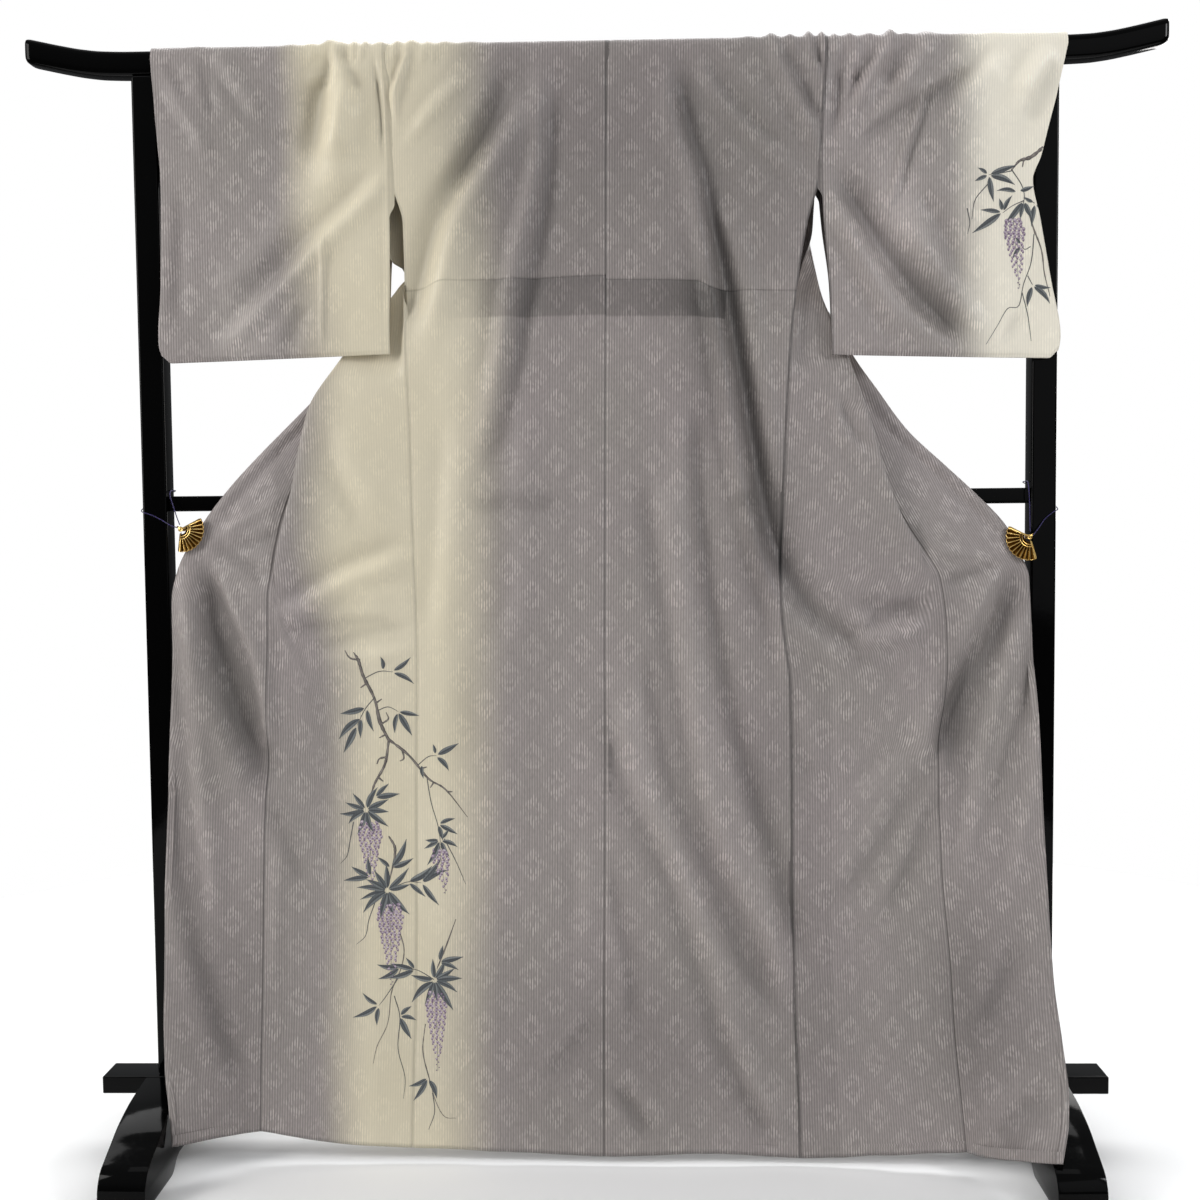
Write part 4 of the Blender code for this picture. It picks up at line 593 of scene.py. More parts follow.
def creases(x, z, table):
    """Height towards -Y of all the creases of a table. Each is a soft ridge or trough whose steeper flank
    faces the light where it is raised and turns from it where it is sunk."""
    x, z = np.broadcast_arrays(np.asarray(x, float), np.asarray(z, float))
    total = np.zeros(x.shape)
    for width, height, *points in table:
        line = rounded_path(points)
        width = width * (1 + 0.3 * float(smooth((width - 1.0) / 0.4)))
        reach = np.concatenate([[0], np.cumsum(np.hypot(*np.diff(line, axis=0).T))])
        low, high = line.min(0) - 3.4 * width, line.max(0) + 3.4 * width
        near = (x > low[0]) & (x < high[0]) & (z > low[1]) & (z < high[1])
        if not near.any():
            continue
        xs, zs = x[near], z[near]
        best, aside, turn, along = np.full(xs.shape, 1e9), np.zeros(xs.shape), np.zeros(xs.shape), np.zeros(xs.shape)
        for (ax, az), (bx, bz), start in zip(line, line[1:], reach):
            dx, dz = bx - ax, bz - az
            long = math.hypot(dx, dz)
            t = np.clip(((xs - ax) * dx + (zs - az) * dz) / long**2, 0, 1)
            ox, oz = xs - ax - t * dx, zs - az - t * dz
            d2 = ox**2 + oz**2
            closer = d2 < best
            away = -(dz * LIGHT_FROM[0] - dx * LIGHT_FROM[1]) / long
            best = np.where(closer, d2, best)
            aside = np.where(closer, (ox * dz - oz * dx) / long, aside)
            turn = np.where(closer, away / math.sqrt(away**2 + 0.06), turn)
            along = np.where(closer, start + t * long, along)
        bell = np.exp(-(best / width**2))
        ends = 0.12 + 0.88 * smooth(np.minimum(along, reach[-1] - along) / min(0.24 * reach[-1], 7.0))
        total[near] += height * ends * (EVEN * np.exp(-((best / width**2) ** 0.85)) + SLOPE * aside * turn * bell)
    return total


EVEN, SLOPE = 0.38, 0.62
RELIEF = 2.0


def soft_noise(x, z, cell_x, cell_z, seed):
    """Smooth values between -1 and 1 on cells of this size."""
    table = np.random.default_rng(seed).uniform(-1, 1, (97, 97))
    a, b = np.asarray(x, float) / cell_x + 400, np.asarray(z, float) / cell_z + 400
    i, j = np.floor(a).astype(int), np.floor(b).astype(int)
    u, v = a - i, b - j
    u, v = u * u * (3 - 2 * u), v * v * (3 - 2 * v)
    i0, i1, j0, j1 = i % 97, (i + 1) % 97, j % 97, (j + 1) % 97
    return (table[i0, j0] * (1 - u) + table[i1, j0] * u) * (1 - v) + (table[i0, j1] * (1 - u) + table[i1, j1] * u) * v


def waves(x, z, seed=1):
    """The small unevenness of silk that has been folded and hung."""
    return (
        0.16 * soft_noise(x, z + 0.3 * x, 7.5, 26, seed)
        + 0.07 * soft_noise(x + 0.25 * z, z, 3.4, 13, seed + 1)
        + 0.035 * soft_noise(x - 0.3 * z, z, 2.1, 6, seed + 2)
        + 0.014 * soft_noise(x, z, 1.1, 2.4, seed + 3)
    )


def level(x, z):
    """The height at x of the row whose nominal height is z: rows near the hem follow it."""
    low = np.clip((HEM_FADE - z) / (HEM_FADE - HEM_NOMINAL), 0, None)
    return z + (hem(x) - HEM_NOMINAL) * low**2


def bunch(x):
    """Rise of the bunched cloth on top of the bar."""
    return sum(rise * np.exp(-(((x - at) / w) ** 2)) for at, w, rise in BUNCHES[1:])


def over_bar(turn):
    """(y, z) of the cloth over the bar: turn runs from 0 on the -Y side to 1 behind."""
    a = math.pi * turn
    c, q = math.cos(a), math.sin(a)
    return (-OVER_DEPTH * math.copysign(abs(c) ** (2 / OVER_POWER), c), SHOULDER_Z + OVER_RISE * abs(q) ** (2 / OVER_POWER))


def clear_of_bar(y, z, side):
    """Keeps a layer outside the bar's front or rear face: side is -1 for the -Y layers and 1 for those behind."""
    near = smooth((z - 158.6) / 1.6)
    least = 2.08
    outside = np.maximum(y * side, least)
    return side * (y * side * (1 - near) + outside * near)


tuck_line = {s: columns(TUCK_LINE[s])["z"] for s in (-1, 1)}


def back_base(s, z, f):
    """A back panel's row without its folds: f runs from 0 at the side edge to 1 at the centre seam."""
    f = f + (np.linspace(0, 1, len(f)) - f) * smooth((SHOULDER_Z - z) / 16)
    x0, x1 = side_of[s]["x"](z), centre["x"](z) + s * SEAM / 2
    y0, y1 = side_of[s]["y"](z), centre["y"](z)
    x = x0 + (x1 - x0) * f
    y = y0 + (y1 - y0) * f
    d = z - TUCK
    rise = float(smooth(1 - abs(d) / 9))
    high = level(x, z) + (tuck_line[s](x) - TUCK) * rise
    step = float(smooth((d + 0.06) / 0.12)) * math.exp(-max(d, 0) / 2.2) * 0.09
    pinch = 0.04 * math.exp(-((d / 0.35) ** 2))
    return np.stack([x, y - step + pinch, high], -1)


def front_edge(s, z):
    """(x, y) of a front's side edge: on the side seam low down, free above it."""
    part = smooth((z - SLIT[s][0]) / (SLIT[s][1] - SLIT[s][0]))
    x = side_of[s]["x"](z) * (1 - part) + free_of[s]["x"](z) * part + s * SEAM
    return x, side_of[s]["y"](z) * (1 - part) + free_of[s]["y"](z) * part


def front_base(s, z, k):
    """A front's row without its folds, and how much of each fold it takes."""
    c = {n: float(f(z)) for n, f in front_of[s].items()}
    x0, y0 = (float(v) for v in front_edge(s, z))
    lap = s * (c["x1"] - c["x2"])
    gap = min(0.45, max(0.0, 0.13 * lap)) * float(smooth((SHOULDER_Z - z) / 8))
    e = 0.16
    x = pchip([0, 1, 2, 3], [x0, c["x1"], c["x2"], c["xs"]])(k)
    behind = float(smooth((z - 115) / 4) * smooth((134 - z) / 5))
    near = y0 + (c["y1"] - y0) * (0.15 + 0.70 * behind)
    top = y0 + (c["y1"] - y0) * (0.5 + 0.42 * behind) - 0.25 * smooth((112 - z) / 12) * smooth((z - 60) / 20)
    y = pchip(
        [0, 0.15, 0.5, 1 - e, 1, 1 + e, 2 - e, 2, 2 + e, 3],
        [y0, near, top, c["y1"] - gap * 0.8, c["y1"], c["y1"] + gap, c["y2"] - gap, c["y2"], c["y2"] + gap, c["ys"]],
    )(k)
    low = float(smooth((116 - z) / 8))
    seen = low + (1 - low) * (1 - smooth((k - 0.7) / 0.3)) * float(smooth((128 - z) / 4))
    return np.stack([x, y, level(x, z)], -1), seen


def okumi_base(s, z, m):
    """An overlap strip's row without its folds: m runs from 0 at its seam to 1 at the front edge."""
    c = {n: float(f(z)) for n, f in front_of[s].items()}
    xs = c["xs"] + s * SEAM
    x = xs + (c["x3"] - xs) * m
    y = c["ys"] + (c["y3"] - c["ys"]) * m - c["swell"] * np.sin(math.pi * m)
    return np.stack([x, y, level(x, z)], -1), np.full(len(m), float(smooth((116 - z) / 8)))


# ---------------------------------------------------------------- colours dyed into the cloth, and painted light and shade
def cream_of_body(x, z):
    """Share of the pale cream band that runs down the left side of the garment."""
    wander = 1.1 * soft_noise(z, x, 23, 60, 61)
    left = -45.6 + 4.4 * smooth((92 - z) / 22) - 1.2 * smooth((40 - z) / 30)
    right = -24.4 - 0.8 * smooth((60 - z) / 40) + 1.6 * np.exp(-(((z - 122) / 14) ** 2))
    return smooth((x - left - wander) / 9.0) * (1 - smooth((x - right - wander) / 12.0))


def cream_of_sleeve(s, x, z):
    wander = 0.9 * soft_noise(z, x, 17, 60, 67)
    if s < 0:
        widen = smooth((150 - z) / 28)
        return smooth((x + 47.0 - wander) / (7.0 + 5.6 * widen))
    return smooth((x - 50.8 - wander) / 8.0)


# Painted shade over broad soft areas, and painted highlights where the amount is below zero: centre, half sizes and
# amount.
PAINTED_SHADING_PATCHES = (
    ("x", "z", "across", "down", "amount"),
    (9, 152, 20, 13, 0.15), (-8, 140, 9, 16, 0.10), (24, 141, 8, 9, 0.06), (13, 127.5, 6, 4, 0.14),
    (25, 94, 5, 14, 0.14), (24, 55, 6, 16, 0.08), (4, 18, 22, 15, 0.15), (14, 52, 8, 22, -0.06), (5, 62, 6, 14, -0.05),
    (-60, 76, 4, 14, 0.10), (-55, 68, 5, 13, 0.27), (-58, 24, 9, 20, 0.30), (52, 71, 3.6, 14, 0.14), (53, 24, 4.5, 15, 0.19), (59, 22, 8, 18, 0.20),
    (-21, 150, 5, 12, 0.13), (17.5, 122, 3.8, 10, 0.42), (21, 110, 3.4, 8, 0.24), (24.5, 93, 3.2, 11, 0.36), (16, 138, 3.4, 9, 0.12), (-56, 62, 3, 12, 0.08), (51.6, 67, 2.4, 9, 0.20), (0, 15, 46, 13, 0.08), (24.5, 58, 4, 12, 0.12), (-19.6, 66.5, 3, 9, 0.12),
    (-40, 22, 10, 16, 0.05), (38, 26, 14, 20, 0.07), (-43, 62, 6, 12, 0.06), (44, 84, 6, 6, 0.06),
)


def painted_shading(x, z, table=PAINTED_SHADING_PATCHES):
    return sum(amount * np.exp(-(((x - at) / across_) ** 2 + ((z - high_) / down) ** 2)) for at, high_, across_, down, amount in table[1:])


# The same painted shade and highlights for the sleeves.
SLEEVE_PAINTED_SHADING_PATCHES = (
    ("x", "z", "across", "down", "amount"),
    (44, 137, 3.8, 8, -0.42), (-43.6, 150, 2.8, 8, -0.30), (-48, 136, 5, 8, -0.08), (39.5, 158, 3, 4, -0.09), (-51.4, 124, 4.4, 6, -0.40), (-37.5, 149, 2.5, 6, 0.05),
)


def painted_shade_of_body(x, z):
    """Painted shade: darker where more layers lie behind the sheer cloth, and a painted shadow where the rail shows
    through.
    """
    shade_of_layers_behind = 0.07 * smooth((z - 127.5) / 5) * smooth((x + 31) / 6) * (1 - 0.6 * cream_of_body(x, z))
    # painted shadow of the rail behind, seen through the cloth
    rail = 0.18 * smooth((z - 95.6) / 1.6) * (1 - smooth((z - 98.4) / 1.6))
    windows = smooth((x + 20) / 4) * (1 - smooth((x + 8) / 4)) + smooth((x - 18.5) / 3) * (1 - smooth((x - 25) / 3))
    return shade_of_layers_behind + rail * np.clip(windows, 0, 1)


def painted_fold_shading(folds):
    """Painted shade taken from the light in a fold's hollow, and a painted highlight given on its crest."""
    return np.where(folds > 0, -0.13 * np.tanh(1.2 * folds), -0.32 * np.tanh(0.95 * folds))


# ---------------------------------------------------------------- silk
RIB = 0.38              # pitch of the warp ribs
LOZENGE_U, LOZENGE_V = 7.1, 8.0   # repeat of the woven lozenges across and along the cloth


def silk_material(name, tint=1.0, cream_dyes=((231, 222, 199), (224, 214, 187))):
    """Sheer ribbed silk: warp ribs, woven lozenges, streaks in the warp, dyed bands, painted shade for the tuck's
    doubled cloth, the folds and the layers behind, and a painted brown inner shade.
    """
    made, tree, shader = new_material(name)
    weave = add(tree, "ShaderNodeUVMap", uv_map="weave")
    cut = add(tree, "ShaderNodeUVMap", uv_map="cut")
    uv, at = add(tree, "ShaderNodeSeparateXYZ"), add(tree, "ShaderNodeSeparateXYZ")
    tree.links.new(weave.outputs[0], uv.inputs[0])
    tree.links.new(cut.outputs[0], at.inputs[0])
    u, v = uv.outputs[0], uv.outputs[1]
    dye_and_shade = add(tree, "ShaderNodeAttribute", attribute_name="dye_and_shade")
    bands = add(tree, "ShaderNodeSeparateColor")
    tree.links.new(dye_and_shade.outputs["Color"], bands.inputs[0])
    # red is the cream dye, green the painted shade, blue the painted inner shade of hidden layers
    cream, inner_shade = bands.outputs[0], bands.outputs[2]
    shade = maths(tree, "SUBTRACT", bands.outputs[1], 0.5)

    # the ribs, a little uneven
    drift = noise(tree, vector(tree, maths(tree, "MULTIPLY", u, 0.9), maths(tree, "MULTIPLY", v, 0.16)), 1.0, 0.0)
    phase = maths(tree, "MULTIPLY_ADD", drift, 1.1, maths(tree, "MULTIPLY", u, 2 * math.pi / RIB))
    rib = maths(tree, "MULTIPLY_ADD", maths(tree, "COSINE", phase), 0.5, 0.5)
    # the lozenges: hollow, in rows that are set half a repeat apart, each drawn by brighter dashes of the ribs
    a = maths(tree, "ABSOLUTE", maths(tree, "SUBTRACT", maths(tree, "FRACT", maths(tree, "MULTIPLY", u, 1 / LOZENGE_U)), 0.5))
    b = maths(tree, "ABSOLUTE", maths(tree, "SUBTRACT", maths(tree, "FRACT", maths(tree, "MULTIPLY", v, 1 / LOZENGE_V)), 0.5))
    both = maths(tree, "MULTIPLY", maths(tree, "ADD", a, b), 2.0)
    off = maths(tree, "ABSOLUTE", maths(tree, "SUBTRACT", both, 1.0))
    ring = maths(tree, "MULTIPLY", ramp(tree, off, 0.30, 0.44), ramp(tree, off, 0.72, 0.86, 1.0, 0.0))
    across_it = maths(tree, "MULTIPLY", maths(tree, "SUBTRACT", b, a), ramp(tree, both, 0.96, 1.04, 1.0, -1.0))
    ring = maths(tree, "MULTIPLY", ring, ramp(tree, across_it, -0.16, 0.16, 0.55, 1.0))   # strongest at the top and the foot of each
    patchy = noise(tree, vector(tree, maths(tree, "MULTIPLY", u, 0.12), maths(tree, "MULTIPLY", v, 0.10)), 1.0, 0.0)
    figure = maths(tree, "MULTIPLY", ring, ramp(tree, patchy, 0.36, 0.60, 0.62, 1.0))
    dashes = noise(tree, vector(tree, maths(tree, "MULTIPLY", u, 2.7), maths(tree, "MULTIPLY", v, 1.25)), 1.0, 0.0)
    dashes = ramp(tree, dashes, 0.28, 0.56)
    plain = maths(tree, "SUBTRACT", 1.0, maths(tree, "MULTIPLY", cream, 0.82))   # the pale bands hide the weave
    # long streaks in the warp, and small flecks
    streak = noise(tree, vector(tree, maths(tree, "MULTIPLY", u, 1.9), maths(tree, "MULTIPLY", v, 0.025)), 1.0, 2.0, 0.6)
    fleck = noise(tree, vector(tree, maths(tree, "MULTIPLY", u, 5.5), maths(tree, "MULTIPLY", v, 0.9)), 1.0, 1.0, 0.6)
    cloud = noise(tree, vector(tree, maths(tree, "MULTIPLY", u, 0.07), maths(tree, "MULTIPLY", v, 0.05)), 1.0, 0.0)

    grey = mix_colours(tree, cloud, tuple(c * tint for c in linear(150, 144, 139)), tuple(c * tint for c in linear(156, 147, 146)))
    pale = mix_colours(tree, cloud, tuple(c * tint for c in linear(*cream_dyes[0])), tuple(c * tint for c in linear(*cream_dyes[1])))
    ground = mix_colours(tree, cream, grey, pale)
    bright = maths(tree, "MULTIPLY", rib, dashes)
    detail = maths(tree, "MULTIPLY", maths(tree, "SUBTRACT", rib, 0.5), maths(tree, "MULTIPLY_ADD", figure, 0.22, 0.28))
    detail = maths(tree, "ADD", detail, maths(tree, "MULTIPLY", maths(tree, "MULTIPLY", figure, bright), 0.46))
    detail = maths(tree, "ADD", detail, maths(tree, "MULTIPLY", bright, 0.15))
    detail = maths(tree, "ADD", detail, maths(tree, "MULTIPLY", maths(tree, "SUBTRACT", streak, 0.5), 0.20))
    detail = maths(tree, "ADD", detail, maths(tree, "MULTIPLY", maths(tree, "SUBTRACT", fleck, 0.5), 0.18))
    light = maths(tree, "ADD", 0.90, maths(tree, "MULTIPLY", detail, plain))
    # painted shade of the doubled cloth inside the tuck
    high = at.outputs[1]
    tuck_shade_band = maths(tree, "MULTIPLY", ramp(tree, high, TUCK - 5.5, TUCK - 5.1), ramp(tree, high, TUCK - 0.12, TUCK - 0.02, 1.0, 0.0))
    soft = maths(tree, "SUBTRACT", 1.0, maths(tree, "MULTIPLY", cream, 0.55))
    stitched = maths(tree, "MULTIPLY", ramp(tree, maths(tree, "ABSOLUTE", maths(tree, "SUBTRACT", high, TUCK - 0.05)), 0.04, 0.20, 1.0, 0.0), 0.13)
    share = at.outputs[0]
    spot = add(tree, "ShaderNodeSeparateXYZ")
    tree.links.new(place_of(tree), spot.inputs[0])
    right_side = ramp(tree, spot.outputs[0], 0.005, 0.035)
    left_end = maths(tree, "MULTIPLY", ramp(tree, share, 0.10, 0.34), maths(tree, "SUBTRACT", 1.0, right_side))
    right_end = maths(tree, "MULTIPLY", ramp(tree, share, 0.250, 0.262), right_side)
    window = maths(tree, "ADD", maths(tree, "ADD", left_end, right_end), 0.12, clamp=True)
    darker = maths(tree, "ADD", maths(tree, "MULTIPLY", maths(tree, "MULTIPLY", maths(tree, "MULTIPLY", tuck_shade_band, soft), window), 0.31), stitched)
    # the sunk line of every seam
    seams = maths(tree, "MAXIMUM", ramp(tree, share, 0.0035, 0.0085, 1.0, 0.0), ramp(tree, share, 0.9915, 0.9965))
    darker = maths(tree, "ADD", darker, maths(tree, "MULTIPLY", maths(tree, "MULTIPLY", seams, soft), 0.42))
    darker = maths(tree, "ADD", darker, shade)
    light = maths(tree, "MULTIPLY", light, maths(tree, "SUBTRACT", 1.0, darker))
    toned = mix_colours(tree, 1.0, ground, (1.0, 1.0, 1.0), "MULTIPLY")
    shaded = add(tree, "ShaderNodeVectorMath", operation="SCALE")
    tree.links.new(toned, shaded.inputs[0])
    tree.links.new(light, shaded.inputs[3])
    # painted inner shade: hidden layers inside are darkened towards brown
    inner_shaded = mix_colours(tree, inner_shade, shaded.outputs[0], linear(132, 112, 84), "MULTIPLY")
    tree.links.new(inner_shaded, shader.inputs["Base Color"])

    # silk shines more where the figure floats over the ribs
    gloss = maths(tree, "SUBTRACT", 0.56, maths(tree, "MULTIPLY", figure, 0.12))
    gloss = maths(tree, "ADD", gloss, maths(tree, "MULTIPLY", maths(tree, "SUBTRACT", fleck, 0.5), 0.14))
    tree.links.new(gloss, shader.inputs["Roughness"])
    shader.inputs["Specular IOR Level"].default_value = 0.42
    shader.inputs["Sheen Weight"].default_value = 0.22
    shader.inputs["Sheen Roughness"].default_value = 0.35
    height = maths(tree, "MULTIPLY", maths(tree, "MULTIPLY", rib, maths(tree, "MULTIPLY_ADD", dashes, 0.7, 0.7)), plain)
    bump(tree, shader, height, 0.00022, 0.75)
    return made


SILK = silk_material("ribbed_silk")
COLLAR_SILK = silk_material("ribbed_silk_collar", 1.04)
# a lighter copy of the silk for the right sleeve: painted light, as the sleeve stands in brighter light
LIT_SLEEVE_SILK = silk_material("ribbed_silk_painted_lighter", 1.08, ((247, 241, 226), (242, 235, 217)))


# ---------------------------------------------------------------- meshes
def link(name, mesh, *finishes):
    obj = bpy.data.objects.new(name, mesh)
    bpy.context.scene.collection.objects.link(obj)
    for finish in finishes:
        mesh.materials.append(finish)
    return obj


def cloth(name, points, faces, weave, cut, dye_and_shade, wall=0.055, finish=None, slot="silk", node=None):
    """A thin shell on the sheet of quads: points in cm, weave and cut coordinates, and for each point its cream dye,
    painted shade and painted inner shade.
    """
    points, weave, cut, dye_and_shade = (np.asarray(v, float) for v in (points, weave, cut, dye_and_shade))
    faces = np.array(faces)
    used = np.unique(faces)
    new = np.full(len(points), -1)
    new[used] = np.arange(len(used))
    faces = new[faces]
    points, weave, cut, dye_and_shade = points[used], weave[used], cut[used], dye_and_shade[used]
    mesh = bpy.data.meshes.new(name)
    mesh.from_pydata((points * CM).tolist(), [], faces.tolist())
    mesh.update()
    corner = np.empty(len(mesh.loops), np.int32)
    mesh.loops.foreach_get("vertex_index", corner)
    for label, values in (("weave", weave), ("cut", cut)):
        layer = mesh.uv_layers.new(name=label)
        layer.data.foreach_set("uv", np.ascontiguousarray(values[corner], np.float32).ravel())
    # the colour attribute: cream dye in red, painted shade in green, painted inner shade in blue
    layer = mesh.color_attributes.new("dye_and_shade", "FLOAT_COLOR", "POINT")
    full = np.concatenate([np.clip(dye_and_shade, 0, 1), np.ones((len(dye_and_shade), 1))], 1)
    layer.data.foreach_set("color", full.astype(np.float32).ravel())
    mesh.shade_smooth()
    # the sheet's own border stays a crisp edge once it has a thickness
    bm = bmesh.new()
    bm.from_mesh(mesh)
    for edge in bm.edges:
        if edge.is_boundary:
            edge.smooth = False
    bm.to_mesh(mesh)
    bm.free()
    obj = link(name, mesh, finish or SILK)
    solid = obj.modifiers.new("thickness", "SOLIDIFY")
    solid.thickness = wall * CM
    solid.offset = 0.0
    solid.use_even_offset = False
    solid.use_rim = True
    if node:
        hold(obj, node, slot=slot)
    return obj


def grid_faces(rows, cols, keep=None):
    r, c = np.meshgrid(np.arange(rows - 1), np.arange(cols - 1), indexing="ij")
    quads = np.stack([r * cols + c, r * cols + c + 1, (r + 1) * cols + c + 1, (r + 1) * cols + c], -1)
    return (quads[keep] if keep is not None else quads.reshape(-1, 4)).reshape(-1, 4)


def arc_across(rows):
    """Distance along each row from its first point."""
    steps = np.linalg.norm(np.diff(rows[:, :, :2], axis=1), axis=2)
    return np.concatenate([np.zeros((len(rows), 1)), np.cumsum(steps, 1)], 1)


# ---- body strips: back hem, up the back, over the bar, down the front
K = np.concatenate([np.linspace(0, 0.78, 15), np.linspace(0.80, 1.2, 10), np.linspace(1.25, 1.78, 12), np.linspace(1.82, 2.2, 9), np.linspace(2.26, 3.0, 15)])
NECK_COLUMNS = 12
heights = np.concatenate([np.arange(2, 163, 0.72), [163], TUCK + np.array([-0.6, -0.3, -0.12, -0.04, 0.04, 0.12, 0.3, 0.6, 1.0])])
heights = np.unique(np.round(heights[(np.abs(heights - TUCK) > 0.75) | (np.abs(heights - TUCK) < 0.65) | (heights == TUCK + 1.0)], 3))
TURNS = (0.05, 0.12, 0.2, 0.3, 0.4, 0.5, 0.6, 0.7, 0.8, 0.88, 0.95)


def body(s, name, node):
    shoulder = front_base(s, SHOULDER_Z, K)[0][:, 0]
    f = (shoulder - shoulder[0]) / (float(centre["x"](SHOULDER_Z)) - shoulder[0])
    f = np.concatenate([f, np.linspace(f[-1], 1, NECK_COLUMNS + 1)[1:]])
    cols, lap = len(f), len(K)
    back = np.array([back_base(s, z, f) for z in heights])
    amount = np.ones(back.shape[:2])
    fronts, shares = zip(*(front_base(s, z, K) for z in heights[::-1]))
    front, seen = np.array(fronts), np.array(shares)
    folds = creases(back[..., 0], back[..., 2], BODY_CREASES) * RELIEF
    small = waves(back[..., 0], back[..., 2], 11)
    pleats = creases(back[..., 0], back[..., 2], PLEATS) * 1.6
    back_fold_shading = painted_fold_shading(folds + 0.5 * small) + painted_fold_shading(1.1 * pleats)
    at_seam = 1 - 0.75 * np.exp(-(((f - 1) * 29 / 1.2) ** 2))[None, :] * np.ones(back.shape[:2])
    back[..., 1] -= (folds * smooth((165.5 - back[..., 2]) / 5) + pleats + small * smooth((162 - back[..., 2]) / 6)) * (0.35 + 0.65 * at_seam)
    back[..., 1] = clear_of_bar(back[..., 1], back[..., 2], -1)
    folds = creases(front[..., 0], front[..., 2], BODY_CREASES) * RELIEF
    small = waves(front[..., 0], front[..., 2], 11)
    front_fold_shading = painted_fold_shading(folds + 0.5 * small) * seen
    front[..., 1] -= (folds + small) * seen
    rear = creases(front[..., 0], front[..., 2], REAR_CREASES) * 0.5 + 0.5 * waves(front[..., 0], front[..., 2], 31)
    front[..., 1] -= np.minimum(rear, 0.25) * (1 - seen) * smooth((159 - front[..., 2]) / 8) * smooth((front[..., 2] - 112) / 6)
    front[..., 1] = np.where(front[..., 2] > 140, clear_of_bar(front[..., 1], front[..., 2], 1), front[..., 1])
    over = []
    for turn in TURNS:
        y, z = over_bar(turn)
        row = back[-1].copy()
        fade = math.sin(math.pi * turn)
        row[:, 1] = y + (back[-1][:, 1] + OVER_DEPTH) * max(0.0, 1 - turn / 0.3)
        row[:, 2] = z + bunch(row[:, 0]) * fade**0.6
        over.append(row)
    neck_row = len(back) + len(over) - 1
    tail = np.repeat(front[:, -1:, :], NECK_COLUMNS, 1)
    rows = np.concatenate([back, np.array(over), np.concatenate([front, tail], 1)])

    # distances for the weave: across from the centre or from the overlap's seam, along from the hem
    x = rows[..., 0]
    u = np.abs(x - centre["x"](np.clip(rows[..., 2], 2, 163)))
    n = len(back) + len(over)
    from_side = arc_across(front)
    from_seam = from_side[:, -1:] - from_side
    blend = smooth((K - 0.9) / 1.2)[None, :]
    width = 24.0
    u_front = 31.0 + from_side * (1 - blend) + (width - from_seam) * blend
    u[n:, :lap] = u_front
    v = np.concatenate([heights, 163 + np.array(TURNS) * 9.6, 172.6 + (163 - heights[::-1])])
    v = np.repeat(v[:, None], cols, 1)
    nominal = np.concatenate([heights, np.full(len(over), 170.0), heights[::-1]])
    cut = np.stack([np.repeat(f[None, :], len(nominal), 0), np.repeat(nominal[:, None], cols, 1)], -1)
    cut[n:, :lap, 0] = np.minimum(from_side / 32, 0.5)
    cut[n:, :, 1] = np.minimum(cut[n:, :, 1], 118)      # the tuck is in the back panel only
    z = rows[..., 2]
    cream = cream_of_body(x, z) if s < 0 else np.zeros_like(x)
    # painted shade: the layers behind, the rail's shadow, the shading patches and the folds' painted shade and
    # highlights
    shade = np.full_like(x, 0.5)
    shade[:n] += painted_shade_of_body(x[:n], z[:n]) + painted_shading(x[:n], z[:n])
    shade[: len(back)] += back_fold_shading
    shade[len(back) : n] += back_fold_shading[-1:] * 0.5
    shade[n:, :lap] += painted_shading(x[n:, :lap], z[n:, :lap]) * seen + front_fold_shading
    if s > 0:                                          # the allowances pressed aside behind the seams: a painted lighter strip by the centre seam and painted shade beside the side seams
        shade[: len(back)] -= 0.05 * smooth((1.5 - (1 - f) * 30) / 0.3)[None, :]
        shade[n:, :lap] += 0.085 * smooth((6.0 - from_side) / 0.5) * seen * smooth((86 - z[n:, :lap]) / 6)
    else:
        shade[n:, :lap] += 0.03 * smooth((5.6 - from_side) / 0.5) * seen * smooth((110 - z[n:, :lap]) / 6)
    # painted inner shade: the front's parts hidden behind the back are darkened towards brown
    hidden_shade = np.zeros_like(x)
    hidden_shade[n:, :lap] = (0.35 if s > 0 else 0.12) * (1 - seen)
    dye_and_shade = np.stack([cream, shade, hidden_shade], -1)

    # seam allowances: the back's edges turn in, and the front's edge runs on behind the back panel
    def turned(columns_, dx, dy):
        extra = columns_.copy()
        extra[:, 0] += dx
        extra[:, 1] += dy
        return extra

    in_ = np.zeros(len(rows))
    in_[:n] = 1
    sewn = np.concatenate([np.zeros(n), smooth((SLIT[s][0] + 0.5 - heights[::-1]) / 2)])
    first = rows[:, 0].copy()
    lip = first.copy()
    lip[:, 0] += -s * (0.04 * in_ + 0.55 * sewn)
    lip[:, 1] += 0.14 * in_ * smooth((162 - first[:, 2]) / 2) + 0.16 * sewn + 0.05 * (1 - in_) * (1 - sewn)
    over_now = (np.arange(len(rows)) >= len(back)) & (np.arange(len(rows)) < n)
    lip[over_now, 2] -= 0.05
    last = rows[:, -1].copy()
    if s > 0:
        rim = last.copy()
        rim[:, 0] += 0.03
        rim[:, 1] += 0.13 * in_ * smooth((162 - last[:, 2]) / 2)
        inner = rim.copy()
        inner[:, 0] += 0.9
        inner[:, 1] += 0.03
        tails = [rim, inner]
    else:
        under = last.copy()
        under[:, 0] += 0.12
        under[:, 1] += 0.11 * smooth((162 - last[:, 2]) / 2)
        further = under.copy()
        further[:, 0] += 0.6
        further[:, 1] += 0.03
        tails = [under, further]
    grid = np.concatenate([lip[:, None], rows] + [t[:, None] for t in tails], 1)

    def widened(values, step):
        return np.concatenate([values[:, :1] - step, values] + [values[:, -1:] + step * (i + 1) for i in range(2)], 1)

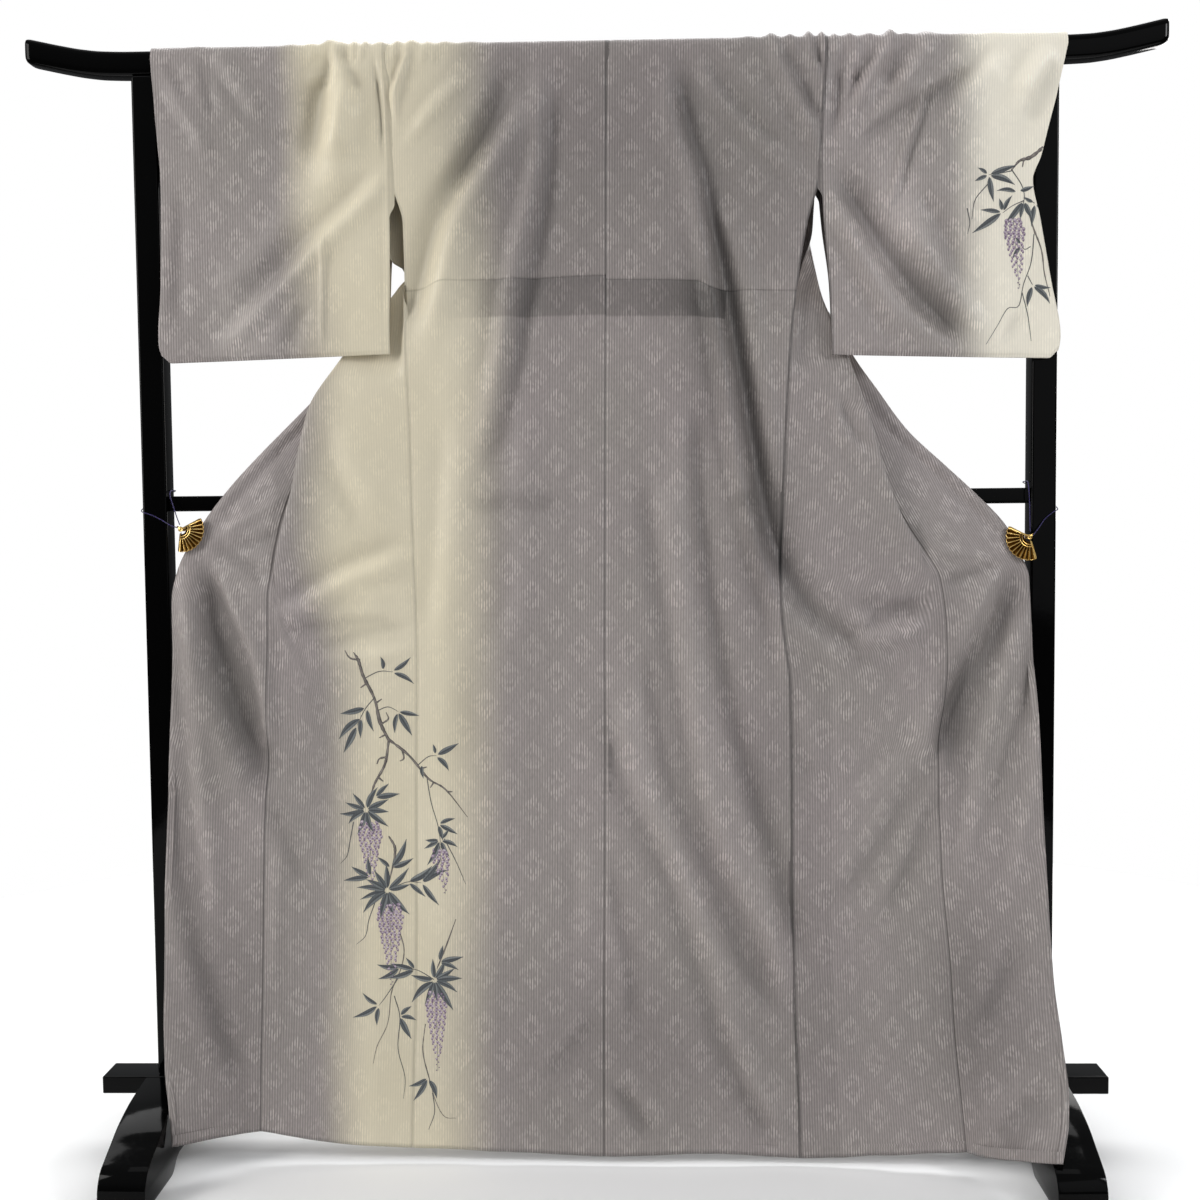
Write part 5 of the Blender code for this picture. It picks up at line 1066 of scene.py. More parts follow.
    u, v = widened(u, 0.15), widened(v, 0.0)
    cut = np.concatenate([cut[:, :1], cut, cut[:, -1:], cut[:, -1:]], 1)
    dye_and_shade = np.concatenate([dye_and_shade[:, :1], dye_and_shade, dye_and_shade[:, -1:], dye_and_shade[:, -1:]], 1)
    dye_and_shade[n:, 0, 1] = 0.5
    # hems turned up inside at both ends
    def hemmed(a, shift):
        return np.concatenate([a[:1] + shift[1], a[:1] + shift[0], a, a[-1:] + shift[0], a[-1:] + shift[1]])

    up = (np.array([0, 0.10, 0.10]), np.array([0, 0.15, 1.6]))
    grid = hemmed(grid, up)
    u, v = hemmed(u, (0.0, 0.0)), np.concatenate([v[:1] + 1.6, v[:1] - 0.1, v, v[-1:] + 0.1, v[-1:] - 1.6])
    cut, dye_and_shade = hemmed(cut, (0.0, 0.0)), hemmed(dye_and_shade, (0.0, 0.0))
    total_rows, total_cols = grid.shape[:2]
    keep = np.ones((total_rows - 1, total_cols - 1), bool)
    keep[neck_row + 2 :, lap:] = False
    faces = grid_faces(total_rows, total_cols, keep)
    if s > 0:
        faces = faces[:, ::-1]
    return cloth(name, grid.reshape(-1, 3), faces, np.stack([u, v], -1).reshape(-1, 2), cut.reshape(-1, 2), dye_and_shade.reshape(-1, 3), node=node)


bodies = {s: body(s, "back_and_front_" + tag, "body_" + tag) for s, tag in ((-1, "left"), (1, "right"))}


# ---- overlap strips
def okumi(s, name, node):
    m = np.linspace(0, 1, 30)
    zs = np.unique(np.concatenate([np.arange(2, OKUMI_TOP, 0.72), [OKUMI_TOP]]))[::-1]
    rows, seen = (np.array(v) for v in zip(*(okumi_base(s, z, m) for z in zs)))
    folds, small = creases(rows[..., 0], rows[..., 2], BODY_CREASES) * RELIEF, waves(rows[..., 0], rows[..., 2], 11)
    # painted shade and highlights of the folds, with the painted shading patches
    shade = 0.5 + (painted_fold_shading(folds + 0.5 * small) + painted_shading(rows[..., 0], rows[..., 2])) * seen
    rows[..., 1] -= (folds + small) * seen
    # the roll that runs along the edge above the clip
    clip_z = FAN[s][1]
    edge = (1 - m)[None, :] * np.abs(rows[:, -1:, 0] - rows[:, :1, 0])
    above = smooth((rows[..., 2] - clip_z + 1) / 6) * smooth((120 - rows[..., 2]) / 10)
    rows[..., 1] -= above * (0.30 * np.exp(-(((edge - 0.9) / 0.8) ** 2)) - 0.28 * np.exp(-(((edge - 3.0) / 0.9) ** 2)))
    allowance = rows[:, :1].copy()
    allowance[..., 0] -= s * 0.25
    allowance[..., 1] += 0.30
    turned = rows[:, -1:].copy()
    turned[..., 1] += 0.10
    inner = turned.copy()
    inner[..., 0] -= s * 0.9
    inner[..., 1] += 0.06
    grid = np.concatenate([allowance, rows, turned, inner], 1)
    distance = arc_across(rows)
    u = 70.0 + np.concatenate([distance[:, :1] - 0.5, distance, distance[:, -1:] + 0.1, distance[:, -1:] + 1], 1)
    v = np.repeat(zs[:, None], grid.shape[1], 1)
    up = (np.array([0, 0.10, 0.10]), np.array([0, 0.15, 1.6]))
    grid = np.concatenate([grid, grid[-1:] + up[0], grid[-1:] + up[1]])
    u, v = np.concatenate([u, u[-1:], u[-1:]]), np.concatenate([v, v[-1:] - 0.1, v[-1:] - 1.6])
    share = np.concatenate([[0], 0.9 * m, [0.9, 0.9]])
    cut = np.stack([np.repeat(share[None, :], len(u), 0), np.full_like(u, 60.0)], -1)
    dye_and_shade = np.zeros((*u.shape, 3))
    shade = np.concatenate([shade[:, :1], shade, shade[:, -1:], shade[:, -1:]], 1)
    dye_and_shade[..., 1] = np.concatenate([shade, shade[-1:], shade[-1:]])
    faces = grid_faces(*grid.shape[:2])
    if s > 0:
        faces = faces[:, ::-1]
    return cloth(name, grid.reshape(-1, 3), faces, np.stack([u, v], -1).reshape(-1, 2), cut.reshape(-1, 2), dye_and_shade.reshape(-1, 3), node=node)


strips = {s: okumi(s, "overlap_" + tag, "okumi_" + tag) for s, tag in ((-1, "left"), (1, "right"))}


# ---- sleeves: one strip round the bar, joined along the bottom and along the outer edge below the wrist
def sleeve(s, name, node):
    c = sleeve_of[s]
    inner, outer = SLEEVE_BOTTOM[s]
    shares = np.unique(np.concatenate([np.linspace(0, 0.94, 104), np.linspace(0.94, 1, 11)]))
    cut_at = (SHOULDER_Z - WRIST_END[s]) / (SHOULDER_Z - outer - CUFF_CORNER)
    levels = np.unique(np.concatenate([np.linspace(0, cut_at, 44), np.linspace(cut_at, 0.985, 54), np.linspace(0.985, 1, 6)]))
    closes_at = int(np.argmin(np.abs(levels - cut_at)))
    n, wide = len(levels), len(shares)
    bottom = inner + (outer - inner) * shares + CUFF_CORNER * smooth((shares - 0.955) / 0.045) ** 2
    a = np.repeat(shares[None, :], n, 0)
    z = SHOULDER_Z + (bottom[None, :] - SHOULDER_Z) * levels[:, None]
    xf = c["xi"](z) + (c["xo"](z) - c["xi"](z)) * a
    xr = c["xi"](z) + (c["xr"](z) - c["xi"](z)) * a
    ease = smooth((z - 118) / 5) * (0.25 + 0.75 * smooth(a / 0.05))
    folds = creases(xf, z, SLEEVE_CREASES[s]) * RELIEF * smooth((165.5 - z) / 5) + waves(xf, z, 51 + s) * smooth((162 - z) / 6)
    pleats = creases(xf, z, PLEATS) * 1.6
    sleeve_fold_shading = painted_fold_shading(folds * 0.9) + painted_fold_shading(1.1 * pleats)
    yf = clear_of_bar(c["y"](z) - (folds + pleats) * ease, z, -1)
    yf = np.minimum(yf, -2.16 * smooth((np.abs(xf) - 57.5) / 2.5) * smooth((z - 117.5) / 1.5))   # clear of the uprights
    depth = np.stack([c[r](z) for r in ("r0", "r1", "r2", "r3")])
    yr = np.empty_like(z)
    for i in range(n):
        for j in range(wide):
            yr[i, j] = pchip((0, 0.75, 0.87, 1), depth[:, i, j])(shares[j])
    rear = 0.5 * creases(xr, z, REAR_CREASES) + 0.5 * waves(xr, z, 71 + s)
    yr = yr - np.clip(rear, -0.5, 0.3) * smooth((z - 126) / 10) * smooth((161 - z) / 6) * smooth((1.0 - a) / 0.15) * smooth(a / 0.15)
    yr = np.where(z > 140, clear_of_bar(yr, z, 1), yr)
    yr = np.maximum(yr, yf + 0.22 * (1 - smooth((a - 0.97) / 0.03) * smooth((WRIST_END[s] + 1 - z) / 2)) * (1 - smooth((levels[:, None] - 0.97) / 0.03)))
    close = smooth((levels[:, None] - 0.985) / 0.015)
    middle = (yf + yr) / 2
    yf, yr = yf + (middle - yf) * close, yr + (middle - yr) * close
    down = np.stack([xf, yf, z], -1)
    behind = np.stack([xr, yr, z], -1)[::-1][1:]
    top = []
    xt = xf[0]
    for turn in TURNS:
        y, zz = over_bar(1 - turn)
        fade = math.sin(math.pi * turn)
        top.append(np.stack([xt, np.full(wide, y) + (yf[0] + OVER_DEPTH) * max(0.0, 1 - (1 - turn) / 0.3), zz + bunch(xt) * fade**0.6], -1))
    ring = np.concatenate([down, behind, np.array(top)])
    size = len(ring)

    u = np.abs(ring[:, :, 0] - (31 if s > 0 else -31))
    v = ring[..., 2].copy()
    v[n : 2 * n - 1] = 172.6 + 163 - ring[n : 2 * n - 1, :, 2]
    v[2 * n - 1 :] = 163 + (1 - np.array(TURNS))[:, None] * 9.6
    cream = cream_of_sleeve(s, ring[..., 0], ring[..., 2])
    # painted shade and highlights of the folds, with the sleeve's painted shading patches
    shade = np.full_like(cream, 0.5)
    shade[:n] += sleeve_fold_shading + painted_shading(xf, z, SLEEVE_PAINTED_SHADING_PATCHES)
    shade[2 * n - 1 :] += sleeve_fold_shading[:1] * 0.5
    inner_shade = np.zeros_like(cream)
    # painted inner shade on the sleeve's layer behind
    inner_shade[n : 2 * n - 1] = 0.30
    grid = np.concatenate([ring, ring[:1]])            # the top stretch returns to the first row
    u, v = np.concatenate([u, u[:1]]), np.concatenate([v, v[:1]])
    dye_and_shade = np.stack([cream, shade, inner_shade], -1)
    dye_and_shade = np.concatenate([dye_and_shade, dye_and_shade[:1]])
    rows_, cols_ = grid.shape[:2]
    index = np.arange(rows_ * cols_).reshape(rows_, cols_).copy()
    index[-1] = index[0]
    last = cols_ - 1
    for i in range(n, 2 * (n - 1) - closes_at + 1):
        index[i, last] = index[2 * (n - 1) - i, last]
    faces = np.stack([index[:-1, :-1], index[1:, :-1], index[1:, 1:], index[:-1, 1:]], -1).reshape(-1, 4)
    if s < 0:
        faces = faces[:, ::-1]
    points = grid.reshape(-1, 3)
    weave = np.stack([u, v], -1).reshape(-1, 2)
    across = np.tile(shares * 0.9, (rows_, 1))         # 0 is the seam by the body
    cut = np.stack([across, np.full_like(across, 60.0)], -1).reshape(-1, 2)
    dye_and_shade = dye_and_shade.reshape(-1, 3)
    # the allowance by the body, tucked behind the body's own edge where the two are sewn together
    sew = smooth((ring[:, 0, 2] - (139.5 if s < 0 else 141.5)) / 2)
    inside = ring[:, 0].copy()
    inside[:, 0] += -s * (0.75 * sew + 0.02)
    front_half = np.arange(size) < n
    inside[:, 1] += np.where(front_half, 0.17, np.where(np.arange(size) < 2 * n - 1, -0.17, 0.0)) * sew
    inside[size - len(TURNS) :, 2] -= 0.14
    inside[:, 1] = np.where(ring[:, 0, 2] > 158, np.clip(inside[:, 1], -2.6, 2.6), inside[:, 1])
    start = len(points)
    points = np.concatenate([points, inside])
    weave = np.concatenate([weave, weave.reshape(rows_, cols_, 2)[:size, 0] - [0.5, 0]])
    cut = np.concatenate([cut, np.tile([[0.0, 60.0]], (size, 1))])
    dye_and_shade = np.concatenate([dye_and_shade, dye_and_shade.reshape(rows_, cols_, 3)[:size, 0]])
    extra = [(start + i, start + (i + 1) % size, index[(i + 1) if i + 1 < size else 0, 0], index[i, 0]) for i in range(size)]
    extra = np.array(extra)
    if s < 0:
        extra = extra[:, ::-1]
    faces = np.concatenate([faces, extra])
    return cloth(name, points, faces, weave, cut, dye_and_shade, finish=LIT_SLEEVE_SILK if s > 0 else SILK, node=node)


sleeves = {s: sleeve(s, "hanging_sleeve_" + tag, "sleeve_" + tag) for s, tag in ((-1, "left"), (1, "right"))}


# ---- collar: a folded band turned in along the front edges and round the neck behind the bar
COLLAR_STOPS = (87, 91, 95, 99, 103, 107, 111, 115, 118.4, 122, 126, 129.4, 132, 136.5, 140, 145, 150, 155, 159, 162.3)
COLLAR_LIFT = 0.38
NECK_Z, NECK_Y = 163.75, 2.75


def looked_up(objs):
    graph = bpy.context.evaluated_depsgraph_get()
    return [BVHTree.FromObject(o, graph) for o in objs]


def surface_at(trees, x, z, side):
    """Depth in cm of the outermost cloth at (x, z), seen from -Y (side -1) or from +Y (side 1), or None."""
    found = []
    for tree in trees:
        hit = tree.ray_cast(Vector((x * CM, side * 0.6, z * CM)), Vector((0, -side, 0)))
        if hit[0] is not None:
            found.append(hit[0].y / CM)
    if not found:
        return None
    return max(found) if side > 0 else min(found)


def collar():
    across_band = np.linspace(0.02, 1.0, 9)
    zs = np.unique(np.concatenate([np.arange(87, 162.3, 0.8), COLLAR_STOPS]))
    sides = {}
    for s in (-1, 1):
        c = front_of[s]
        trees = looked_up([bodies[s], strips[s]])
        part, ways = [], []
        for z in zs:
            x, y = float(c["x3"](z)), float(c["y3"](z))
            tx, tz = float(c["x3"](z + 1.5)) - float(c["x3"](z - 1.5)), 3.0
            length = math.hypot(tx, tz)
            inward = (-s * tz / length, s * tx / length)
            row, last = [], y
            for q in across_band:
                px, pz = x + inward[0] * COLLAR_WIDTH * q, z + inward[1] * COLLAR_WIDTH * q
                under = surface_at(trees, px, min(pz, SHOULDER_Z), 1)
                if under is not None and under > -6 and abs(under - y) < 6:
                    last = max(under, last - 0.35) if row else under
                row.append((px, last + 0.30, pz))
            part.append(row)
            ways.append(inward)
        part = np.array(part)
        depth = part[:, :, 1]
        for _ in range(3):                             # eases the steps between neighbouring rows
            middle = np.maximum(depth[1:-1], (depth[:-2] + 2 * depth[1:-1] + depth[2:]) / 4)
            depth[1:-1] = middle
        sides[s] = (part, ways)
    first, final = sides[-1][0][-1], sides[1][0][-1]
    lead, trail = sides[-1][1][-1], sides[1][1][-1]
    xl, xr = first[0][0], final[0][0]
    neck = []
    for t in np.linspace(0.03, 0.97, 33):
        x = xl + (xr - xl) * t
        turn = float(smooth(min(t, 1 - t) / 0.3))
        own = lead if t < 0.5 else trail
        dx, dz = own[0] * (1 - turn), own[1] * (1 - turn) - turn
        length = math.hypot(dx, dz)
        z = COLLAR_STOPS[-1] + (NECK_Z - COLLAR_STOPS[-1]) * float(smooth(min(t, 1 - t) / 0.16)) ** 0.7
        ends = first if t < 0.5 else final
        neck.append([(x + dx / length * COLLAR_WIDTH * q, ends[i][1] * (1 - turn) + (NECK_Y + 0.15 * q) * turn, z + dz / length * COLLAR_WIDTH * q) for i, q in enumerate(across_band)])
    rows = np.concatenate([sides[-1][0], np.array(neck), sides[1][0][::-1]])
    steps = np.linalg.norm(np.diff(rows[:, 4], axis=0), axis=1)
    along = np.concatenate([[0], np.cumsum(steps)])
    u = np.repeat(across_band[None, :] * COLLAR_WIDTH, len(rows), 0)
    v = np.repeat(along[:, None], rows.shape[1], 1)
    cut = np.stack([np.full_like(u, 0.5), np.full_like(u, 60.0)], -1)
    dye_and_shade = np.zeros((*u.shape, 3))
    dye_and_shade[..., 1] = 0.5
    return cloth("neck_band", rows.reshape(-1, 3), grid_faces(*rows.shape[:2]), np.stack([u, v], -1).reshape(-1, 2), cut.reshape(-1, 2), dye_and_shade.reshape(-1, 3), 0.15, COLLAR_SILK, "silk_collar", "collar")


collar_band = collar()


# ---------------------------------------------------------------- hand-painted wistaria sprays
def painted_material():
    """Dye brushed into the cloth: the colours of each stroke, a little broken by the ribs."""
    made, tree, shader = new_material("brushed_dye")
    paint = add(tree, "ShaderNodeAttribute", attribute_name="paint")
    spot = add(tree, "ShaderNodeSeparateXYZ")
    tree.links.new(place_of(tree), spot.inputs[0])
    rib = maths(tree, "MULTIPLY_ADD", maths(tree, "COSINE", maths(tree, "MULTIPLY", spot.outputs[0], 200 * math.pi / RIB)), 0.5, 0.5)
    wash = noise(tree, place_of(tree), 260.0, 3.0, 0.6)
    light = maths(tree, "ADD", 0.80, maths(tree, "ADD", maths(tree, "MULTIPLY", rib, 0.14), maths(tree, "MULTIPLY", wash, 0.26)))
    toned = add(tree, "ShaderNodeVectorMath", operation="SCALE")
    tree.links.new(paint.outputs["Color"], toned.inputs[0])
    tree.links.new(light, toned.inputs[3])
    tree.links.new(toned.outputs[0], shader.inputs["Base Color"])
    shader.inputs["Specular IOR Level"].default_value = 0.35
    shader.inputs["Sheen Weight"].default_value = 0.15
    tree.links.new(maths(tree, "ADD", 0.52, maths(tree, "MULTIPLY", wash, 0.16)), shader.inputs["Roughness"])
    bump(tree, shader, rib, 0.00012, 0.5)
    return made


BRUSHED = painted_material()
LEAF_DARK, LEAF_MID, LEAF_PALE = (57, 60, 64), (99, 104, 106), (150, 153, 150)
WOOD_DARK, WOOD_PALE = (60, 56, 56), (146, 138, 130)
LILAC_DARK, LILAC_MID, LILAC_PALE = (114, 93, 119), (160, 140, 159), (204, 192, 201)


def blend_of(a, b, t):
    return tuple(a[i] * (1 - t) + b[i] * t for i in range(3))


class Painting:
    """Brush strokes laid on the cloth: every point is dropped onto the surface below it."""

    def __init__(self, objs, seed):
        self.trees = looked_up(objs)
        self.chance = np.random.default_rng(seed)
        self.points, self.faces, self.colours = [], [], []

    def drop(self, x, z, lift):
        found = [surface_at(self.trees, x + dx, z, -1) for dx in (0.0, -0.07, 0.07)]
        found = [y for y in found if y is not None and y < -1.2]
        return min(found) - lift if found else None

    def lay(self, grid, colours, lift):
        """A patch: rows of (x, z) points, with a colour for each."""
        rows, cols = len(grid), len(grid[0])
        start, kept = len(self.points), {}
        for i in range(rows):
            for j in range(cols):
                x, z = grid[i][j]
                y = self.drop(x, z, lift)
                if y is None:
                    continue
                kept[i, j] = start + len(kept)
                self.points.append((x, y, z))
                self.colours.append(linear(*colours[i][j]))
        for i in range(rows - 1):
            for j in range(cols - 1):
                corners = ((i, j), (i, j + 1), (i + 1, j + 1), (i + 1, j))
                if all(c in kept for c in corners):
                    self.faces.append(tuple(kept[c] for c in corners))

    def leaf(self, x, z, angle, length, width=None, bend=None):
        chance = self.chance
        width = (width or 0.26 * length ** 0.75 + 0.15) * chance.uniform(0.88, 1.1)
        bend = chance.uniform(-0.09, 0.09) if bend is None else bend
        a = math.radians(angle)
        dx, dz = math.cos(a), math.sin(a)
        tone, lift = chance.uniform(-0.18, 0.18), chance.uniform(0.022, 0.034)
        grid, colours = [], []
        for t in np.linspace(0.0, 1.0, 13):
            cx = x + dx * length * t - dz * bend * length * math.sin(math.pi * t)
            cz = z + dz * length * t + dx * bend * length * math.sin(math.pi * t)
            half = width / 2 * max(0.05, (t**0.7 * (1 - t) ** 1.15) / 0.2937)
            row, shades = [], []
            for q in (-1.0, -0.8, -0.42, -0.1, 0.1, 0.42, 0.8, 1.0):
                row.append((cx - dz * half * q, cz + dx * half * q))
                if abs(q) > 0.9:
                    shade = blend_of(LEAF_DARK, LEAF_MID, 0.35)
                elif abs(q) < 0.2:
                    shade = blend_of(LEAF_DARK, LEAF_MID, 0.1 + 0.3 * t)
                else:
                    shade = blend_of(LEAF_MID, LEAF_PALE if q > 0 else LEAF_DARK, 0.42 + tone + 0.25 * (t - 0.5))
                shades.append(shade)
            grid.append(row)
            colours.append(shades)
        self.lay(grid, colours, lift)

    def stroke(self, points, widths, wood=True, lift=0.018):
        line = rounded_path(points, 7)
        steps = np.gradient(line, axis=0)
        steps /= np.linalg.norm(steps, axis=1)[:, None]
        count = len(line)
        halves = np.interp(np.linspace(0, 1, count), np.linspace(0, 1, len(widths)), widths) / 2
        if wood:
            halves = 0.72 * halves * (1 + 0.34 * np.abs(np.sin(np.arange(count) * 1.35 + points[0][0])) + self.chance.uniform(-0.22, 0.22, count))
        dark, pale = (WOOD_DARK, WOOD_PALE) if wood else (LEAF_DARK, blend_of(LEAF_MID, WOOD_PALE, 0.4))
        grid, colours = [], []
        for (cx, cz), (dx, dz), half in zip(line, steps, halves):
            grid.append([(cx - dz * half * q, cz + dx * half * q) for q in (-1, -0.4, 0.4, 1)])
            shade = self.chance.uniform(0, 0.60 if wood else 0.35)
            colours.append([blend_of(dark, pale, 0.15), blend_of(dark, pale, 0.45 + shade), blend_of(dark, pale, 0.3 + shade), dark])
        self.lay(grid, colours, lift)

    def petal(self, x, z, wide, high, angle, inside, rim, lift):
        a = math.radians(angle)
        grid, colours = [], []
        for r in (0.06, 0.62, 1.0):
            row = []
            for t in np.linspace(0, 2 * math.pi, 11):
                px, pz = r * wide / 2 * math.cos(t), r * high / 2 * math.sin(t)
                row.append((x + px * math.cos(a) - pz * math.sin(a), z + px * math.sin(a) + pz * math.cos(a)))
            grid.append(row)
            colours.append([rim if r == 1.0 else inside] * 11)
        self.lay(grid, colours, lift)

    def raceme(self, x, z, length, width, lean=0.0):
        """A hanging flower head that narrows to a tip of buds."""
        chance = self.chance
        tiers = int(length / 0.41)
        for i in range(tiers):
            t = (i + 0.5) / tiers
            half = 0.92 * width / 2 * (0.62 + 0.38 * min(1.0, t / 0.18)) * (1 - max(0.0, t - 0.18) / 0.82) ** 1.05 + 0.10
            cx, cz = x + lean * t * length, z - t * length
            count = max(1, int(round(half * 2 / 0.54)))
            size = 0.60 - 0.26 * t
            for j in range(count):
                place_ = 0.0 if count == 1 else -1 + 2 * (j + (0.25 if i % 2 else 0.0)) / (count - 1 + 0.25)
                px = cx + place_ * half + chance.uniform(-0.08, 0.08) + (0 if count > 1 else 0.16 * (-1) ** i)
                pz = cz + chance.uniform(-0.10, 0.10) + 0.12 * abs(place_)
                tilt = -38 * place_ + chance.uniform(-14, 14)
                shade = chance.uniform(0, 0.5)
                lift = 0.020 + 0.010 * chance.uniform()
                if t < 0.86:
                    self.petal(px, pz, size * 1.05, size * 0.72, tilt, blend_of(LILAC_PALE, LILAC_MID, shade), blend_of(LILAC_MID, LILAC_DARK, 0.3 + shade), lift)
                self.petal(px + 0.06 * place_, pz - size * 0.42, size * 0.50, size * 0.56, tilt, blend_of(LILAC_MID, LILAC_DARK, 0.25 + shade), blend_of(LILAC_DARK, LEAF_DARK, 0.25), lift + 0.006)
        self.stroke([(x, z + 0.5), (x + lean * 0.3 * length, z - 0.3 * length), (x + lean * length, z - length)], (0.10, 0.06, 0.04), wood=False, lift=0.016)

    def crown(self, x, z, *leaves):
        for angle, length in leaves:
            a = math.radians(angle)
            self.leaf(x + 0.35 * math.cos(a), z + 0.35 * math.sin(a), angle, length)

    def made(self, name):
        mesh = bpy.data.meshes.new(name)
        mesh.from_pydata([tuple(float(c) * CM for c in p) for p in self.points], [], self.faces)
        layer = mesh.color_attributes.new("paint", "FLOAT_COLOR", "POINT")
        layer.data.foreach_set("color", np.concatenate([np.array(self.colours), np.ones((len(self.colours), 1))], 1).astype(np.float32).ravel())
        mesh.shade_smooth()
        bm = bmesh.new()
        bm.from_mesh(mesh)
        bmesh.ops.delete(bm, geom=[v for v in bm.verts if not v.link_faces], context="VERTS")
        bmesh.ops.recalc_face_normals(bm, faces=bm.faces)
        turned = [f for f in bm.faces if f.normal.y > 0]
        bmesh.ops.reverse_faces(bm, faces=turned)
        bm.to_mesh(mesh)
        bm.free()
        obj = link(name, mesh, BRUSHED)
        film = obj.modifiers.new("thickness", "SOLIDIFY")
        film.thickness = 0.006 * CM
        film.offset = 0.0
        return hold(obj, slot="silk")


